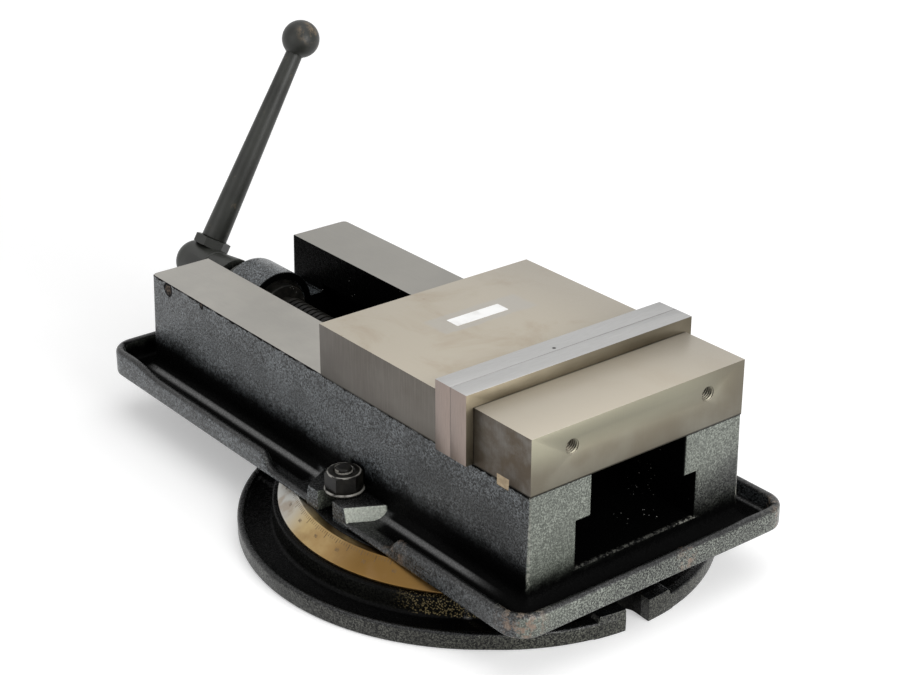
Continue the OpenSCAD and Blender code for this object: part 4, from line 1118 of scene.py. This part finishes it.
def handle():
    along = Matrix.Translation((LEVER_X, 0, SCREW_Z)) @ Matrix.Rotation(-LEVER_LEAN, 4, "X")
    hub = [(0, HUB_X0)] + arc(4, HUB_X0 + 14, 14, -90, 0, 16)
    hub += rounded([(18, -355, 0.6), (17, -354, 0.6), (20, HUB_X1, 1.2), (0, HUB_X1, 0)], 3)
    hub = turned("hub", hub, AT_SCREW, 128)
    carve(hub, rod("seat", 16.6, LEVER_SEAT, 40, along, 64))
    carve(hub, rod("stud_hole", 8.05, 0, 20, along, 48))
    carve(hub, prism("socket", hexagon(19.1), SOCKET_X, HUB_X1 + 2, AT_SCREW))
    dress(eased(hub, 0.7, 50), "screw", ["handle_hub"], "black_oxide")
    nut = hex_nut("lever_nut_chamfered", 27, LEVER_SEAT, LEVER_FOOT, 8.05, along, 0.2)
    dress(nut, "screw", ["lever_lock_nut"], "black_oxide")
    lever = rounded([(0, 1, 0), (8, 1, 0.5), (8, LEVER_FOOT, 0), (11, LEVER_FOOT, 0.8),
                     (7.25, LEVER_END, 0), (5, LEVER_END, 0), (5, BALL_REACH, 0), (0, BALL_REACH, 0)], 4)
    dress(turned("lever_turned", lever, along), "screw", ["handle_lever"], "black_oxide")
    ball = [(5.05, BALL_REACH), (5.05, LEVER_END + 0.05), (8.0, LEVER_END + 0.05)]
    ball += arc(0, BALL_REACH, BALL_R, -60, 90, 40)[:-1] + [(0, BALL_REACH + BALL_R), (0, BALL_REACH)]
    dress(turned("ball_turned", ball, along), "screw", ["handle_ball"], "black_oxide")
    collar = rounded([(12.55, COLLAR_X0, 0.4), (20, COLLAR_X0, 1.0), (20, COLLAR_X1, 1.0),
                      (12.55, COLLAR_X1, 0.4)], 3)
    collar = turned("collar_turned", collar, AT_SCREW, 128, True)
    at_set_screw = Matrix.Translation(((COLLAR_X0 + COLLAR_X1) / 2, 0, SCREW_Z))
    carve(collar, rod("set_hole", 2.75, 5, 25, at_set_screw, 32))
    dress(collar, "screw", ["retaining_collar"], "black_oxide")


def lead_screw():
    journal = (COLLAR_X0 + HUB_X1) / 2
    shaft = rounded([(0, journal, 0), (12.5, journal, 0.5), (12.5, -258.2, 0), (21, -258.2, 0.4),
                     (21, -250.5, 0.8), (11.6, -250.5, 0), (11.6, 44.5, 1.5), (0, 44.5, 0)], 3)
    shaft = turned("shaft", shaft, AT_SCREW)
    drive = prism("drive", hexagon(19), SOCKET_X + 1, journal + 1, AT_SCREW)
    thread = thread_tree(GREASE_AND_SHADE).make("thread", Radius=0.0126, Pitch=0.006, Turns=47.0, Ridge=0.0026,
                                       Foot=0.0042, Crest=0.0022)
    thread.data.transform(Matrix.Translation((-0.2415, 0, SCREW_Z * MM)) @ ALONG_X)
    screw = join("lead_screw_cut", [shaft, drive, thread])
    dress(screw, "screw", ["lead_screw"], "black_oxide", GREASE_AND_SHADE)


# Stage

def stage():
    floor = prism("floor", rectangle(-4000, -4000, 4000, 4000), -0.6, -0.3)
    f = Finish("pale_floor")
    glow = f.varied(0.3, f.where((f.length(f.coords), 600, 2200)), 0.35)
    f.end((0.82, 0.82, 0.82), 0.9)
    f.feed(f.shader["Emission Color"], (1, 1, 1, 1))
    f.feed(f.shader["Emission Strength"], f.times(f.seen(), glow))
    floor.data.materials.append(f.material)
    world = bpy.data.worlds.new("studio")
    world.use_nodes = True
    scene.world = world
    sky = Nodes(world.node_tree)
    strength = sky.add("ShaderNodeMapRange", {"Value": sky.seen(), "To Min": 0.45, "To Max": 1.0})[0]
    back = sky.tree.nodes["Background"].inputs
    sky.feed(back["Color"], (1, 1, 1, 1))
    sky.feed(back["Strength"], strength)
    softbox("top_light", (0.1, 0.2, 1.7), (0, 0, 0.05), 2.0, 14)
    softbox("front_light", (1.6, 0.1, 0.7), (0, 0, 0.06), 1.1, 24)
    softbox("near_light", (-0.2, -1.6, 0.8), (0, 0, 0.08), 1.0, 4)


def softbox(name, place, target, size, power):
    lamp = bpy.data.lights.new(name, "AREA")
    lamp.shape, lamp.size, lamp.energy = "SQUARE", size, power
    obj = bpy.data.objects.new(name, lamp)
    obj.location = place
    obj.rotation_euler = (Vector(target) - Vector(place)).to_track_quat("-Z", "Y").to_euler()
    scene.collection.objects.link(obj)


def camera():
    eye = bpy.data.cameras.new("camera")
    eye.lens, eye.sensor_width, eye.clip_start = 78.28, 36.0, 0.05
    obj = bpy.data.objects.new("camera", eye)
    obj.location = (0.9722, -0.7968, 0.7210)
    obj.rotation_euler = (radians(65.37), 0.0, radians(51.63))
    scene.collection.objects.link(obj)
    scene.camera = obj


scene.view_settings.view_transform = "Standard"
bed_casting()
base_casting()
graduated_ring()
jaws()
clamps()
handle()
lead_screw()
stage()
camera()
